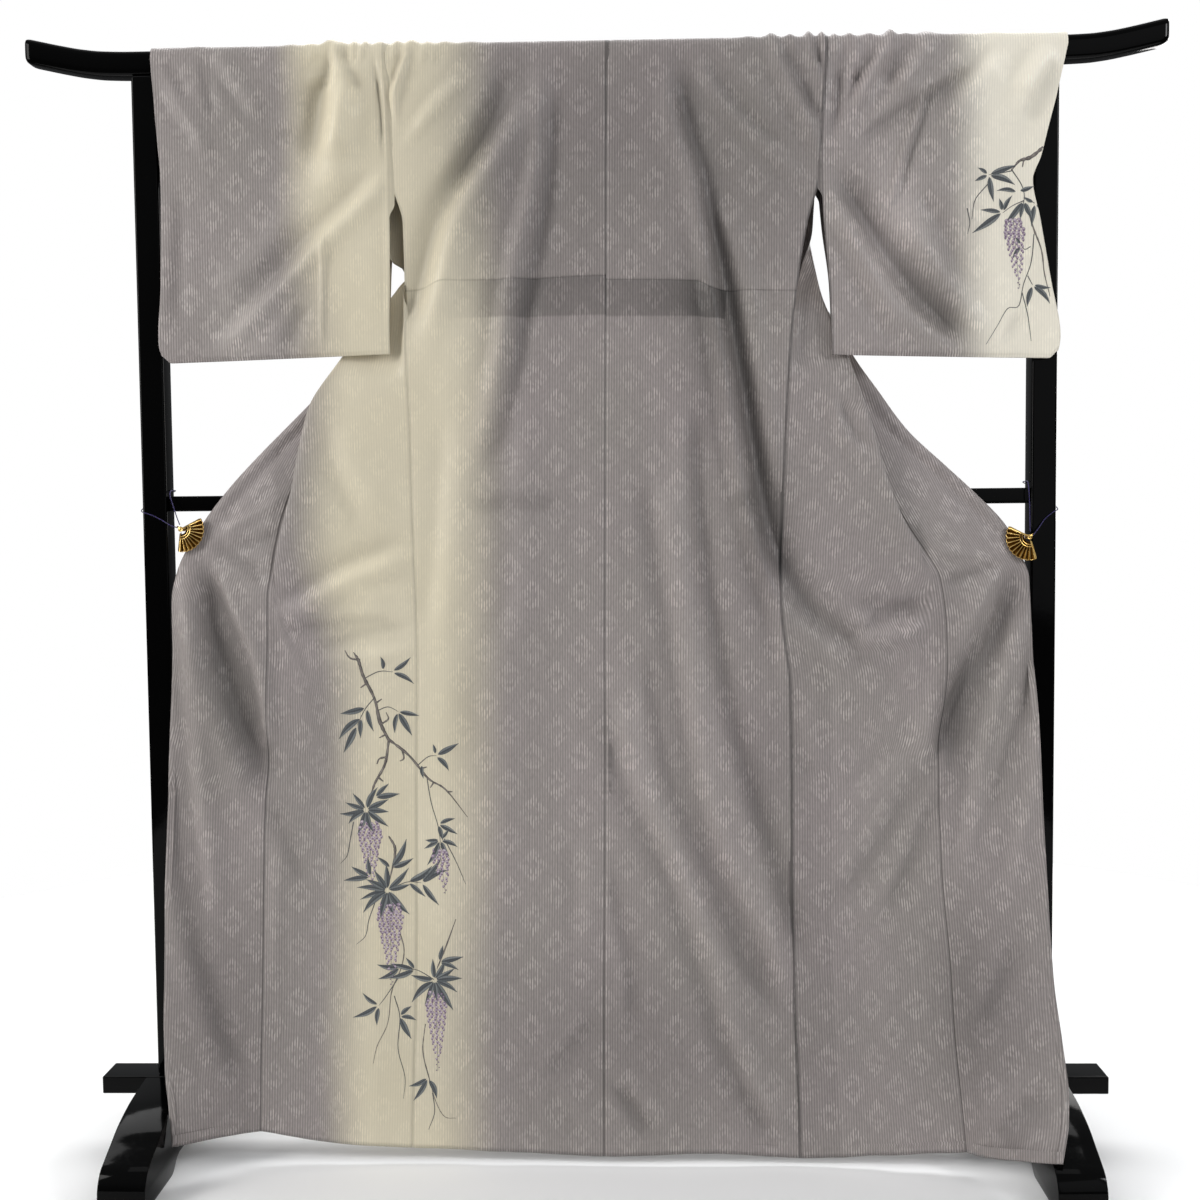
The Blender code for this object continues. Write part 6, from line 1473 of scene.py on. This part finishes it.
def body_spray():
    p = Painting([bodies[-1]], 7)
    # old wood: from the top it forks into a branch to each side
    p.stroke([(-35.9, 75.9), (-35.2, 74.8), (-34.6, 72.4), (-33.0, 69.0), (-32.2, 65.4), (-30.8, 62.4)], (0.12, 0.55, 0.5, 0.46, 0.62, 0.5))
    p.stroke([(-30.9, 62.8), (-28.0, 60.4), (-25.2, 57.0), (-22.6, 55.3), (-19.4, 51.2)], (0.42, 0.40, 0.34, 0.26, 0.08))
    p.stroke([(-31.0, 62.6), (-31.6, 59.2), (-33.2, 56.2), (-34.1, 53.2)], (0.40, 0.42, 0.34, 0.24))
    p.stroke([(-31.2, 48.4), (-30.3, 46.6), (-30.6, 44.2), (-31.3, 41.4)], (0.26, 0.44, 0.30, 0.16))
    p.stroke([(-24.2, 28.6), (-22.8, 32.0), (-21.3, 36.0)], (0.16, 0.26, 0.08))
    p.stroke([(-29.7, 34.0), (-29.1, 31.4), (-29.6, 28.6), (-31.0, 25.2), (-31.6, 20.6), (-33.2, 17.2), (-33.8, 14.6)], (0.22, 0.2, 0.18, 0.14, 0.1, 0.1, 0.05))
    p.stroke([(-26.0, 20.4), (-26.4, 16.4), (-25.5, 12.4), (-24.5, 8.9), (-23.2, 6.7), (-21.5, 6.5)], (0.12, 0.2, 0.16, 0.12, 0.1, 0.05))
    # knots and spurs on the old wood
    for spur in (
        [(-35.2, 74.8), (-36.4, 75.1), (-37.2, 76.2)], [(-34.2, 71.2), (-35.0, 70.6)], [(-32.9, 68.2), (-31.9, 68.9)], [(-32.0, 65.2), (-31.0, 65.9), (-31.3, 66.9)],
        [(-31.4, 63.6), (-32.4, 63.1)], [(-29.0, 61.2), (-28.8, 60.0), (-29.4, 59.6)], [(-26.4, 58.4), (-25.4, 58.7)], [(-24.4, 56.4), (-24.9, 55.6)],
        [(-31.4, 60.2), (-32.4, 60.0), (-32.8, 59.2)], [(-32.6, 57.2), (-31.9, 56.6)], [(-22.4, 55.0), (-21.6, 55.0)],
    ):
        p.stroke(spur, (0.34, 0.26, 0.14), lift=0.022)
    # green stems and tendrils
    for line in (
        [(-34.4, 72.0), (-32.2, 73.0), (-30.2, 72.9)], [(-32.9, 69.2), (-34.4, 67.4), (-35.6, 65.0)], [(-32.5, 67.2), (-31.0, 67.7), (-29.5, 67.0)],
        [(-26.8, 58.9), (-25.2, 60.2), (-23.9, 60.4)], [(-25.4, 57.2), (-24.8, 53.4), (-23.8, 49.8), (-23.4, 46.6)], [(-22.9, 48.0), (-21.2, 44.6), (-19.8, 41.2)],
        [(-36.4, 50.6), (-37.0, 47.6), (-37.4, 45.6), (-38.4, 44.4)], [(-33.4, 38.4), (-34.3, 35.9), (-34.8, 33.6), (-36.2, 32.3)], [(-31.2, 40.4), (-28.6, 41.5), (-26.4, 41.4)],
        [(-24.7, 27.0), (-27.2, 28.4), (-30.2, 28.8)], [(-29.9, 27.4), (-31.8, 24.6), (-32.9, 23.2)], [(-30.6, 24.6), (-29.8, 21.4), (-30.1, 16.8), (-29.1, 12.6), (-29.3, 9.4)],
        [(-25.0, 10.2), (-24.7, 7.4), (-25.6, 4.8)],
    ):
        p.stroke(line, (0.14, 0.12, 0.10, 0.05), wood=False)
    # leaves: each row is a place on a stem, then angle and length of the leaflets there
    p.crown(-30.3, 72.9, (38, 3.1), (-30, 3.3))
    p.crown(-31.6, 73.0, (98, 1.9))
    p.crown(-34.2, 67.6, (192, 3.6), (286, 3.3))
    p.crown(-35.0, 66.2, (224, 4.3), (268, 2.7))
    p.crown(-35.6, 65.0, (243, 4.2))
    p.crown(-29.6, 67.0, (-12, 2.9), (-60, 3.8), (-98, 2.9))
    p.crown(-24.0, 60.4, (28, 3.5), (-50, 2.6), (104, 1.4))
    p.crown(-26.2, 59.2, (-82, 1.9))
    p.crown(-34.5, 52.4, (62, 3.4), (24, 3.3), (-6, 3.0), (-38, 3.8), (-72, 3.3), (-110, 3.5), (-142, 3.0), (188, 3.6), (160, 2.9), (128, 2.8))
    p.crown(-33.2, 54.2, (44, 2.6), (8, 3.4))
    p.crown(-23.8, 50.2, (18, 2.3), (-28, 2.9), (-74, 2.2))
    p.crown(-23.5, 47.8, (52, 1.7), (-22, 2.4), (-62, 2.4), (180, 1.9), (208, 2.4), (242, 3.9))
    p.crown(-31.5, 40.3, (46, 4.3), (14, 3.2), (-48, 4.5), (-76, 3.5), (-104, 3.9), (-138, 4.5), (198, 3.9), (174, 4.2), (152, 3.2), (122, 3.2), (92, 3.6))
    p.crown(-30.9, 43.6, (62, 4.6), (24, 3.3), (140, 2.3))
    p.crown(-34.0, 42.3, (150, 2.9), (186, 3.6), (96, 2.7))
    p.crown(-28.4, 41.5, (34, 4.0), (-40, 3.0))
    p.crown(-26.4, 41.4, (50, 4.2), (26, 4.0), (-52, 3.9))
    p.crown(-24.6, 26.9, (4, 3.8), (-28, 3.5), (-58, 4.9), (-84, 2.8), (-112, 3.5), (-136, 4.4), (168, 3.2), (62, 3.0), (94, 2.8), (30, 3.2))
    p.crown(-27.4, 28.4, (196, 3.8), (166, 3.6), (128, 2.0))
    p.crown(-29.6, 28.8, (206, 3.4), (172, 3.2))
    p.crown(-23.9, 29.6, (12, 3.4), (-22, 2.8), (76, 2.2))
    p.crown(-32.9, 23.2, (142, 2.7), (204, 3.9), (264, 2.6))
    p.crown(-29.9, 21.6, (38, 2.0), (-14, 2.3), (-62, 3.5))
    p.crown(-25.6, 12.4, (202, 2.8), (236, 3.7), (292, 2.9))
    # flower heads
    p.raceme(-34.0, 50.6, 10.0, 3.4, 0.015)
    p.raceme(-23.6, 46.4, 6.6, 2.3, 0.12)
    p.raceme(-31.2, 38.6, 12.4, 3.7, 0.02)
    p.raceme(-24.4, 25.2, 11.8, 2.9, 0.02)
    return p.made("wistaria_on_body")


def sleeve_spray():
    p = Painting([sleeves[1]], 11)
    p.stroke([(65.2, 148.2), (63.4, 146.8), (61.8, 146.3), (60.6, 144.9)], (0.50, 0.62, 0.42, 0.10))
    p.stroke([(62.4, 146.5), (62.2, 145.4)], (0.34, 0.14))
    p.stroke([(63.0, 139.2), (63.9, 136.4), (65.0, 133.4), (65.4, 130.2), (66.2, 126.8)], (0.14, 0.26, 0.22, 0.16, 0.10))
    for line in (
        [(60.7, 144.9), (59.0, 144.6), (57.4, 144.4)], [(57.2, 143.0), (55.4, 140.8), (54.9, 138.0)], [(54.2, 139.6), (54.6, 137.6), (54.3, 135.9)],
        [(60.6, 145.2), (62.2, 142.6), (62.4, 140.4), (61.2, 138.6)], [(62.4, 140.6), (60.8, 139.9), (59.4, 138.9)], [(62.4, 141.0), (64.0, 140.2)],
        [(63.9, 135.8), (63.5, 131.8), (62.4, 128.6), (61.7, 125.5), (60.1, 125.1), (58.6, 122.6), (57.0, 120.0)], [(62.2, 127.4), (63.0, 124.2), (63.5, 120.4)],
        [(63.4, 134.0), (62.6, 133.6), (62.1, 134.2)], [(63.0, 129.8), (63.7, 128.5)],
    ):
        p.stroke(line, (0.14, 0.12, 0.10, 0.06), wood=False)
    p.crown(57.4, 144.4, (18, 3.8), (-22, 3.7), (-80, 3.6), (148, 1.5), (204, 1.9))
    p.crown(61.6, 141.9, (176, 2.7), (18, 2.0))
    p.crown(62.4, 140.6, (-128, 4.3), (-100, 2.4), (-64, 2.6))
    p.crown(59.4, 139.0, (174, 2.9), (214, 5.0), (104, 1.7), (60, 2.4))
    p.crown(64.0, 140.2, (-42, 1.8), (-98, 3.0), (150, 1.5))
    p.crown(62.1, 134.2, (128, 1.1), (236, 1.9))
    p.crown(63.7, 128.5, (-10, 2.3), (-48, 3.4), (256, 2.9))
    p.raceme(60.9, 138.0, 10.0, 2.8, 0.09)
    return p.made("wistaria_on_sleeve")


sprays = (body_spray(), sleeve_spray())


# ---------------------------------------------------------------- the stand
def lacquer_material():
    made, tree, shader = new_material("black_lacquer")
    where = place_of(tree)
    broad = noise(tree, where, 9.0, 3.0, 0.5)
    fine = noise(tree, where, 160.0, 3.0, 0.6)
    tree.links.new(mix_colours(tree, broad, linear(1, 1, 1), linear(4, 4, 4)), shader.inputs["Base Color"])
    worn = maths(tree, "ADD", 0.07, maths(tree, "MULTIPLY", ramp(tree, fine, 0.45, 0.75), 0.07))
    tree.links.new(worn, shader.inputs["Roughness"])
    shader.inputs["Specular IOR Level"].default_value = 0.07
    shader.inputs["Coat Weight"].default_value = 0.04
    shader.inputs["Coat Roughness"].default_value = 0.05
    bump(tree, shader, maths(tree, "ADD", maths(tree, "MULTIPLY", broad, 3.0), maths(tree, "MULTIPLY", fine, 0.25)), 0.0004, 0.35)
    return made


LACQUER = lacquer_material()


def finish_mesh(name, bm, finish, angle=32):
    bmesh.ops.recalc_face_normals(bm, faces=bm.faces)
    mesh = bpy.data.meshes.new(name)
    bm.to_mesh(mesh)
    bm.free()
    mesh.shade_smooth()
    mesh.set_sharp_from_angle(angle=math.radians(angle))
    return link(name, mesh, finish)


def board(name, node, low, high, soften):
    """A planed bar with softened edges and corners."""
    bm = bmesh.new()
    bmesh.ops.create_cube(bm, size=1.0)
    for v in bm.verts:
        v.co = [((low[i] + high[i]) / 2 + v.co[i] * (high[i] - low[i])) * CM for i in range(3)]
    bmesh.ops.bevel(bm, geom=list(bm.edges), offset=soften * CM, segments=5, profile=0.5, affect="EDGES", clamp_overlap=True)
    obj = finish_mesh(name, bm, LACQUER, 40)
    return hold(obj, node, slot="black_lacquer")


for s, tag in ((-1, "left"), (1, "right")):
    x0, h = s * UPRIGHT_X, UPRIGHT_SIDE / 2
    board("post_" + tag, "upright_" + tag, (x0 - h, -h, BASE_TOP + JOINT_GAP), (x0 + h, h, BAR_BOTTOM - JOINT_GAP), 0.34)
reach = UPRIGHT_X - UPRIGHT_SIDE / 2 - JOINT_GAP
rail = (RAIL_TOP - RAIL_BOTTOM) / 2
board("middle_bar", "mid_rail", (-reach, -rail, RAIL_BOTTOM), (reach, rail, RAIL_TOP), 0.22)
board("lower_board", "base_rail", (-BASE_HALF, -BASE_DEPTH / 2, BASE_BOTTOM), (BASE_HALF, BASE_DEPTH / 2, BASE_TOP), 0.2)


def top_bar():
    """The kimono bar: a rounded section swept along X, its ends turned gently up."""
    half, height = BAR_DEPTH / 2, BAR_TOP - BAR_BOTTOM
    section = []
    for i in range(48):
        a = 2 * math.pi * i / 48
        c, q = math.cos(a), math.sin(a)
        section.append((half * math.copysign(abs(c) ** 0.42, c), BAR_BOTTOM + height * (0.5 + 0.5 * math.copysign(abs(q) ** 0.42, q))))
    lift = columns(BAR_END)["lift"]
    xs = [0, 20, 40, 60, 66] + list(np.linspace(68, BAR_HALF - 0.9, 26))
    stations = [(x, 1.0) for x in xs] + [(BAR_HALF - 0.5, 0.975), (BAR_HALF - 0.2, 0.92), (BAR_HALF - 0.05, 0.82)]
    stations = [(-x, g) for x, g in reversed(stations[1:])] + stations
    bm = bmesh.new()
    rings = []
    for x, grow in stations:
        up = float(lift(abs(x)))
        mid = BAR_BOTTOM + height / 2 + up
        rings.append([bm.verts.new((x * CM, y * grow * CM, (mid + (z - BAR_BOTTOM - height / 2) * grow) * CM)) for y, z in section])
    for one, two in zip(rings, rings[1:]):
        for i in range(48):
            bm.faces.new((one[i], two[i], two[(i + 1) % 48], one[(i + 1) % 48]))
    bm.faces.new(rings[0])
    bm.faces.new(list(reversed(rings[-1])))
    return hold(finish_mesh("kimono_bar", bm, LACQUER), "top_bar", slot="black_lacquer")


top_bar()


SOFT_RIM = 0.16


def foot(s, tag):
    """A foot: the outline's smooth curve, notched for the lower board, with softened edges."""
    slot = BASE_DEPTH / 2 + JOINT_GAP
    top = rounded_path([(slot, 11.05)] + [p for p in FOOT_TOP[2:-1]], 5)
    top = [(float(y), float(z)) for y, z in top] + [(23.2, 0.9), (23.05, 0.25), (22.8, 0.0)]
    arch = [(12.0, 0.0), (11.4, 0.12), (10.9, 0.38), (10.4, 0.8), (9.9, 1.3), (9.3, 1.72), (8.4, 2.0), (0.0, 2.0)]
    near = top + arch
    outline = near + [(-y, z) for y, z in reversed(near[:-1])] + [(-slot, BASE_BOTTOM - JOINT_GAP), (slot, BASE_BOTTOM - JOINT_GAP)]
    x0, h = s * UPRIGHT_X, FOOT_WIDTH / 2
    # the way in from each point, square to the edges on its two sides
    p = np.array(outline)
    along = np.roll(p, -1, 0) - p
    along /= np.linalg.norm(along, axis=1)[:, None]
    square = np.stack([-along[:, 1], along[:, 0]], 1)
    if np.sum(p[:, 0] * np.roll(p[:, 1], -1) - np.roll(p[:, 0], -1) * p[:, 1]) < 0:
        square = -square
    before = np.roll(square, 1, 0)
    inward = (square + before) / np.maximum(1 + np.sum(square * before, 1), 0.5)[:, None]
    # round both rims over a quarter circle
    bm = bmesh.new()
    turns = [math.radians(30 * k) for k in range(4)]
    rims = [(h - SOFT_RIM * (1 - math.cos(t)), SOFT_RIM * (1 - math.sin(t))) for t in turns]
    courses = [(-x, w) for x, w in rims] + [(x, w) for x, w in reversed(rims)]
    loops = [[bm.verts.new(((x0 + x) * CM, y * CM, z * CM)) for y, z in p + inward * w] for x, w in courses]
    n = len(outline)
    for one, two in zip(loops, loops[1:]):
        for i in range(n):
            bm.faces.new((one[i], one[(i + 1) % n], two[(i + 1) % n], two[i]))
    bm.faces.new(list(reversed(loops[0])))
    bm.faces.new(loops[-1])
    return hold(finish_mesh("foot_block_" + tag, bm, LACQUER, 28), "foot_" + tag, slot="black_lacquer")


foot(-1, "left")
foot(1, "right")


# ---------------------------------------------------------------- fan clips
def gilt_material(name, bright, dark, roughness):
    made, tree, shader = new_material(name)
    where = place_of(tree)
    worn = noise(tree, where, 420.0, 4.0, 0.6)
    broad = noise(tree, where, 90.0, 2.0, 0.5)
    tree.links.new(mix_colours(tree, ramp(tree, broad, 0.3, 0.7), dark, bright), shader.inputs["Base Color"])
    shader.inputs["Metallic"].default_value = 1.0
    tree.links.new(maths(tree, "ADD", roughness, maths(tree, "MULTIPLY", worn, 0.18)), shader.inputs["Roughness"])
    bump(tree, shader, worn, 0.00012, 0.6)
    return made


GILT = gilt_material("gilt_ribs", linear(232, 200, 128), linear(205, 165, 92), 0.22)
GILT_DARK = gilt_material("gilt_folds", linear(150, 112, 48), linear(104, 74, 26), 0.34)


class Build:
    """Gathers closed bodies into one mesh."""

    def __init__(self):
        self.points, self.faces, self.finish = [], [], []

    def add(self, points, faces, finish=0):
        start = len(self.points)
        self.points += [tuple(float(v) for v in p) for p in points]
        self.faces += [tuple(start + i for i in f) for f in faces]
        self.finish += [finish] * len(faces)

    def tube(self, line, radius, finish=0, sides=8):
        line = np.array(line, float)
        tangent = np.gradient(line, axis=0)
        tangent /= np.linalg.norm(tangent, axis=1)[:, None]
        helper = np.array([0, 1, 0]) if abs(tangent[:, 1]).mean() < 0.8 else np.array([1, 0, 0])
        one = np.cross(tangent, helper)
        one /= np.linalg.norm(one, axis=1)[:, None]
        two = np.cross(tangent, one)
        radius = np.broadcast_to(radius, len(line))
        points = [line[i] + radius[i] * (math.cos(2 * math.pi * j / sides) * one[i] + math.sin(2 * math.pi * j / sides) * two[i]) for i in range(len(line)) for j in range(sides)]
        faces = [(i * sides + j, (i + 1) * sides + j, (i + 1) * sides + (j + 1) % sides, i * sides + (j + 1) % sides) for i in range(len(line) - 1) for j in range(sides)]
        faces.append(tuple(reversed(range(sides))))
        faces.append(tuple(range((len(line) - 1) * sides, len(line) * sides)))
        self.add(points, faces, finish)

    def ring(self, centre_, axis_u, axis_v, big, small, finish=0, sides=8, steps=28):
        centre_, axis_u, axis_v = (np.array(v, float) for v in (centre_, axis_u, axis_v))
        normal = np.cross(axis_u, axis_v)
        points = []
        for i in range(steps):
            a = 2 * math.pi * i / steps
            out = math.cos(a) * axis_u + math.sin(a) * axis_v
            points += [centre_ + out * (big + small * math.cos(2 * math.pi * j / sides)) + normal * small * math.sin(2 * math.pi * j / sides) for j in range(sides)]
        faces = [(i * sides + j, ((i + 1) % steps) * sides + j, ((i + 1) % steps) * sides + (j + 1) % sides, i * sides + (j + 1) % sides) for i in range(steps) for j in range(sides)]
        self.add(points, faces, finish)

    def slab(self, outline, y0, y1, finish=0, sides_in=0.0):
        """A plate with this (x, z) outline between two depths."""
        n = len(outline)
        points = [(x, y0, z) for x, z in outline] + [(x, y1, z) for x, z in outline]
        faces = [(i, (i + 1) % n, n + (i + 1) % n, n + i) for i in range(n)] + [tuple(reversed(range(n))), tuple(range(n, 2 * n))]
        self.add(points, faces, finish)

    def made(self, name, finishes, angle=35):
        mesh = bpy.data.meshes.new(name)
        mesh.from_pydata([tuple(c * CM for c in p) for p in self.points], [], self.faces)
        for i, finish in enumerate(self.finish):
            mesh.polygons[i].material_index = finish
        bm = bmesh.new()
        bm.from_mesh(mesh)
        bmesh.ops.recalc_face_normals(bm, faces=bm.faces)
        bm.to_mesh(mesh)
        bm.free()
        mesh.shade_smooth()
        mesh.set_sharp_from_angle(angle=math.radians(angle))
        return link(name, mesh, *finishes)


def fan_clip(s, tag):
    px, pz, a0, a1 = FAN[s]
    ribs, build = 10, Build()
    count = ribs * 4 + 1
    angles = [math.radians(a0 + (a1 - a0) * (i / (count - 1))) for i in range(count)]
    radii = np.linspace(0.75, 3.36, 12)

    def at(r, a, y):
        return (px + r * math.cos(a), y, pz + r * math.sin(a))

    # the pleated leaf: a sheet that rises to a ridge at each rib, closed with its own back and rim
    front, back = [], []
    for r in radii:
        for i, a in enumerate(angles):
            wave = math.cos(2 * math.pi * i / 4)
            depth = FAN_Y - 0.17 * wave * (0.25 + 0.75 * r / 3.4)
            reach = r * (1 + 0.02 * wave * (r / 3.36) ** 6)
            front.append(at(reach, a, depth))
            back.append(at(reach, a, depth + 0.11))
    m, n = len(radii), count
    faces = []
    for j in range(m - 1):
        for i in range(n - 1):
            faces.append((j * n + i, j * n + i + 1, (j + 1) * n + i + 1, (j + 1) * n + i))
            faces.append(tuple(m * n + v for v in (j * n + i, (j + 1) * n + i, (j + 1) * n + i + 1, j * n + i + 1)))
    for i in range(n - 1):
        for j in (0, m - 1):
            faces.append((j * n + i, j * n + i + 1, m * n + j * n + i + 1, m * n + j * n + i))
    for j in range(m - 1):
        for i in (0, n - 1):
            faces.append((j * n + i, (j + 1) * n + i, m * n + (j + 1) * n + i, m * n + j * n + i))
    build.add(front + back, faces, 1)
    # a raised wire along each ridge, two hoops across them and the edge's beading
    for k in range(ribs + 1):
        a = math.radians(a0 + (a1 - a0) * k / ribs)
        line = [at(r, a, FAN_Y - 0.17 * (0.25 + 0.75 * r / 3.4) - 0.02) for r in np.linspace(1.42, 3.38, 9)]
        build.tube(line, np.linspace(0.055, 0.085, 9), 0)
    for r, thick in ((1.12, 0.06), (1.45, 0.075)):
        line = [at(r, math.radians(t), FAN_Y - 0.14 - 0.02) for t in np.linspace(a0, a1, 40)]
        build.tube(line, thick, 0)
    for k in range(ribs):
        a = math.radians(a0 + (a1 - a0) * (k + 0.5) / ribs)
        wide = math.radians((a1 - a0) / ribs * 0.5)
        line = [at(3.36 + 0.05 * math.cos(t * math.pi), a + wide * t, FAN_Y - 0.10 * abs(t) - 0.0) for t in np.linspace(-1, 1, 9)]
        build.tube(line, 0.05, 0)
    # guard plates along both outer ribs
    for a_deg, turn in ((a0, -1 if a1 > a0 else 1), (a1, 1 if a1 > a0 else -1)):
        a = math.radians(a_deg)
        c, q = math.cos(a), math.sin(a)
        nx, nz = -q * turn, c * turn
        outline = [(px + c * r + nx * w, pz + q * r + nz * w) for r, w in ((0.5, -0.05), (0.7, 0.16), (3.1, 0.34), (3.34, 0.28), (3.38, 0.05), (3.3, -0.06))]
        build.slab(outline, FAN_Y - 0.10, FAN_Y + 0.22, 0)
    # pivot: a domed head in front, its pin through the cloth's edge, and an eye for the cord
    build.ring((px, FAN_Y - 0.22, pz), (1, 0, 0), (0, 0, 1), 0.30, 0.09, 0)
    steps = 20
    profile = [(0.0, -0.34), (0.14, -0.33), (0.25, -0.27), (0.31, -0.18), (0.32, 0.0), (0.22, 0.05), (0.22, 1.38), (0.34, 1.40), (0.34, 1.44), (0.0, 1.45)]
    points, faces = [], []
    for r, y in profile:
        for i in range(steps):
            b = 2 * math.pi * i / steps
            points.append((px + max(r, 0.004) * math.cos(b), FAN_Y + y, pz + max(r, 0.004) * math.sin(b)))
    for j in range(len(profile) - 1):
        for i in range(steps):
            faces.append((j * steps + i, j * steps + (i + 1) % steps, (j + 1) * steps + (i + 1) % steps, (j + 1) * steps + i))
    faces += [tuple(range(steps)), tuple(range((len(profile) - 1) * steps, len(profile) * steps))]
    build.add(points, faces, 0)
    mid = math.radians((a0 + a1) / 2)
    ox, oz = -math.cos(mid), -math.sin(mid)
    build.ring((px + ox * 0.52, FAN_Y + 0.18, pz + oz * 0.52), (ox, 0, oz), (0, 1, 0), 0.22, 0.06, 0, 8, 22)
    # the jaw behind the cloth
    jaw = [(px + r * math.cos(math.radians(t)), pz + r * math.sin(math.radians(t))) for r, t in [(0.4, a0 + (a1 - a0) * q) for q in (0.3, 0.5, 0.7)] + [(2.0, a0 + (a1 - a0) * q) for q in (0.74, 0.66, 0.58, 0.5, 0.42, 0.34, 0.26)]]
    build.slab(jaw, -2.03, -1.94, 1)
    obj = build.made("gilt_fan_" + tag, (GILT, GILT_DARK))
    return hold(obj, "fan_clip_" + tag, slot="gilt")


fan_clip(-1, "left")
fan_clip(1, "right")


# ---------------------------------------------------------------- floor, backdrop and light
def plain_material(name, colour, roughness):
    made, tree, shader = new_material(name)
    where = place_of(tree)
    tree.links.new(mix_colours(tree, noise(tree, where, 1.3, 2.0), tuple(c * 0.985 for c in colour), colour), shader.inputs["Base Color"])
    shader.inputs["Roughness"].default_value = roughness
    shader.inputs["Specular IOR Level"].default_value = 0.15
    return made


def studio():
    """A round pale floor, open on every side."""
    mesh = bpy.data.meshes.new("studio_floor")
    bm = bmesh.new()
    rings = [[bm.verts.new((r * math.cos(t), r * math.sin(t), -0.0002)) for t in np.linspace(0, 2 * math.pi, 96, endpoint=False)] for r in (0.7, 1.4, 2.1)]
    bm.faces.new(rings[0])
    for inside, outside in zip(rings, rings[1:]):
        for i in range(96):
            bm.faces.new((inside[i], outside[i], outside[(i + 1) % 96], inside[(i + 1) % 96]))
    bm.to_mesh(mesh)
    bm.free()
    floor = link("studio_floor", mesh, plain_material("pale_paper", (0.93, 0.93, 0.93), 0.9))


studio()


def area(name, where, target, size, power, colour=(1, 1, 1)):
    data = bpy.data.lights.new(name, "AREA")
    data.shape = "RECTANGLE"
    data.size, data.size_y = size
    data.energy = power
    data.color = colour
    lamp = bpy.data.objects.new(name, data)
    bpy.context.scene.collection.objects.link(lamp)
    lamp.location = where
    lamp.visible_camera = False
    lamp.rotation_euler = (Vector(target) - Vector(where)).to_track_quat("-Z", "Y").to_euler()
    return lamp


area("key_light", (-3.0, -1.75, 1.9), (0.0, 0.0, 0.85), (1.3, 2.0), 66, (1.0, 0.985, 0.965))
area("fill_light", (1.6, -3.2, 1.7), (0.0, 0.0, 0.8), (2.2, 2.4), 9, (0.96, 0.975, 1.0))
area("side_light", (2.7, -1.9, 2.3), (0.66, 0.0, 1.52), (0.6, 0.8), 34, (0.98, 0.985, 1.0))
area("top_light", (0.0, -0.4, 3.3), (0.0, 0.0, 0.0), (3.2, 1.2), 10)
area("floor_light", (-0.4, 1.5, 3.2), (-0.4, 1.5, 0.0), (4.6, 1.6), 85)
area("rear_light", (2.6, 2.6, 1.9), (0.0, 0.0, 0.85), (1.3, 2.0), 42, (1.0, 0.985, 0.965))
world = bpy.data.worlds.new("studio")
world.use_nodes = True
sky = world.node_tree
high = add(sky, "ShaderNodeSeparateXYZ")
sky.links.new(add(sky, "ShaderNodeTexCoord").outputs["Generated"], high.inputs[0])
dim = mix_colours(sky, ramp(sky, high.outputs[2], -0.1, 0.7), (0.10, 0.102, 0.105), (0.38, 0.39, 0.40))
seen = add(sky, "ShaderNodeLightPath").outputs["Is Camera Ray"]   # white paper all round, which gives no light of its own
sky.links.new(mix_colours(sky, seen, dim, (1.0, 1.0, 1.0)), sky.nodes["Background"].inputs[0])
sky.nodes["Background"].inputs[1].default_value = 1.0
bpy.context.scene.world = world
bpy.context.scene.view_settings.view_transform = "Standard"
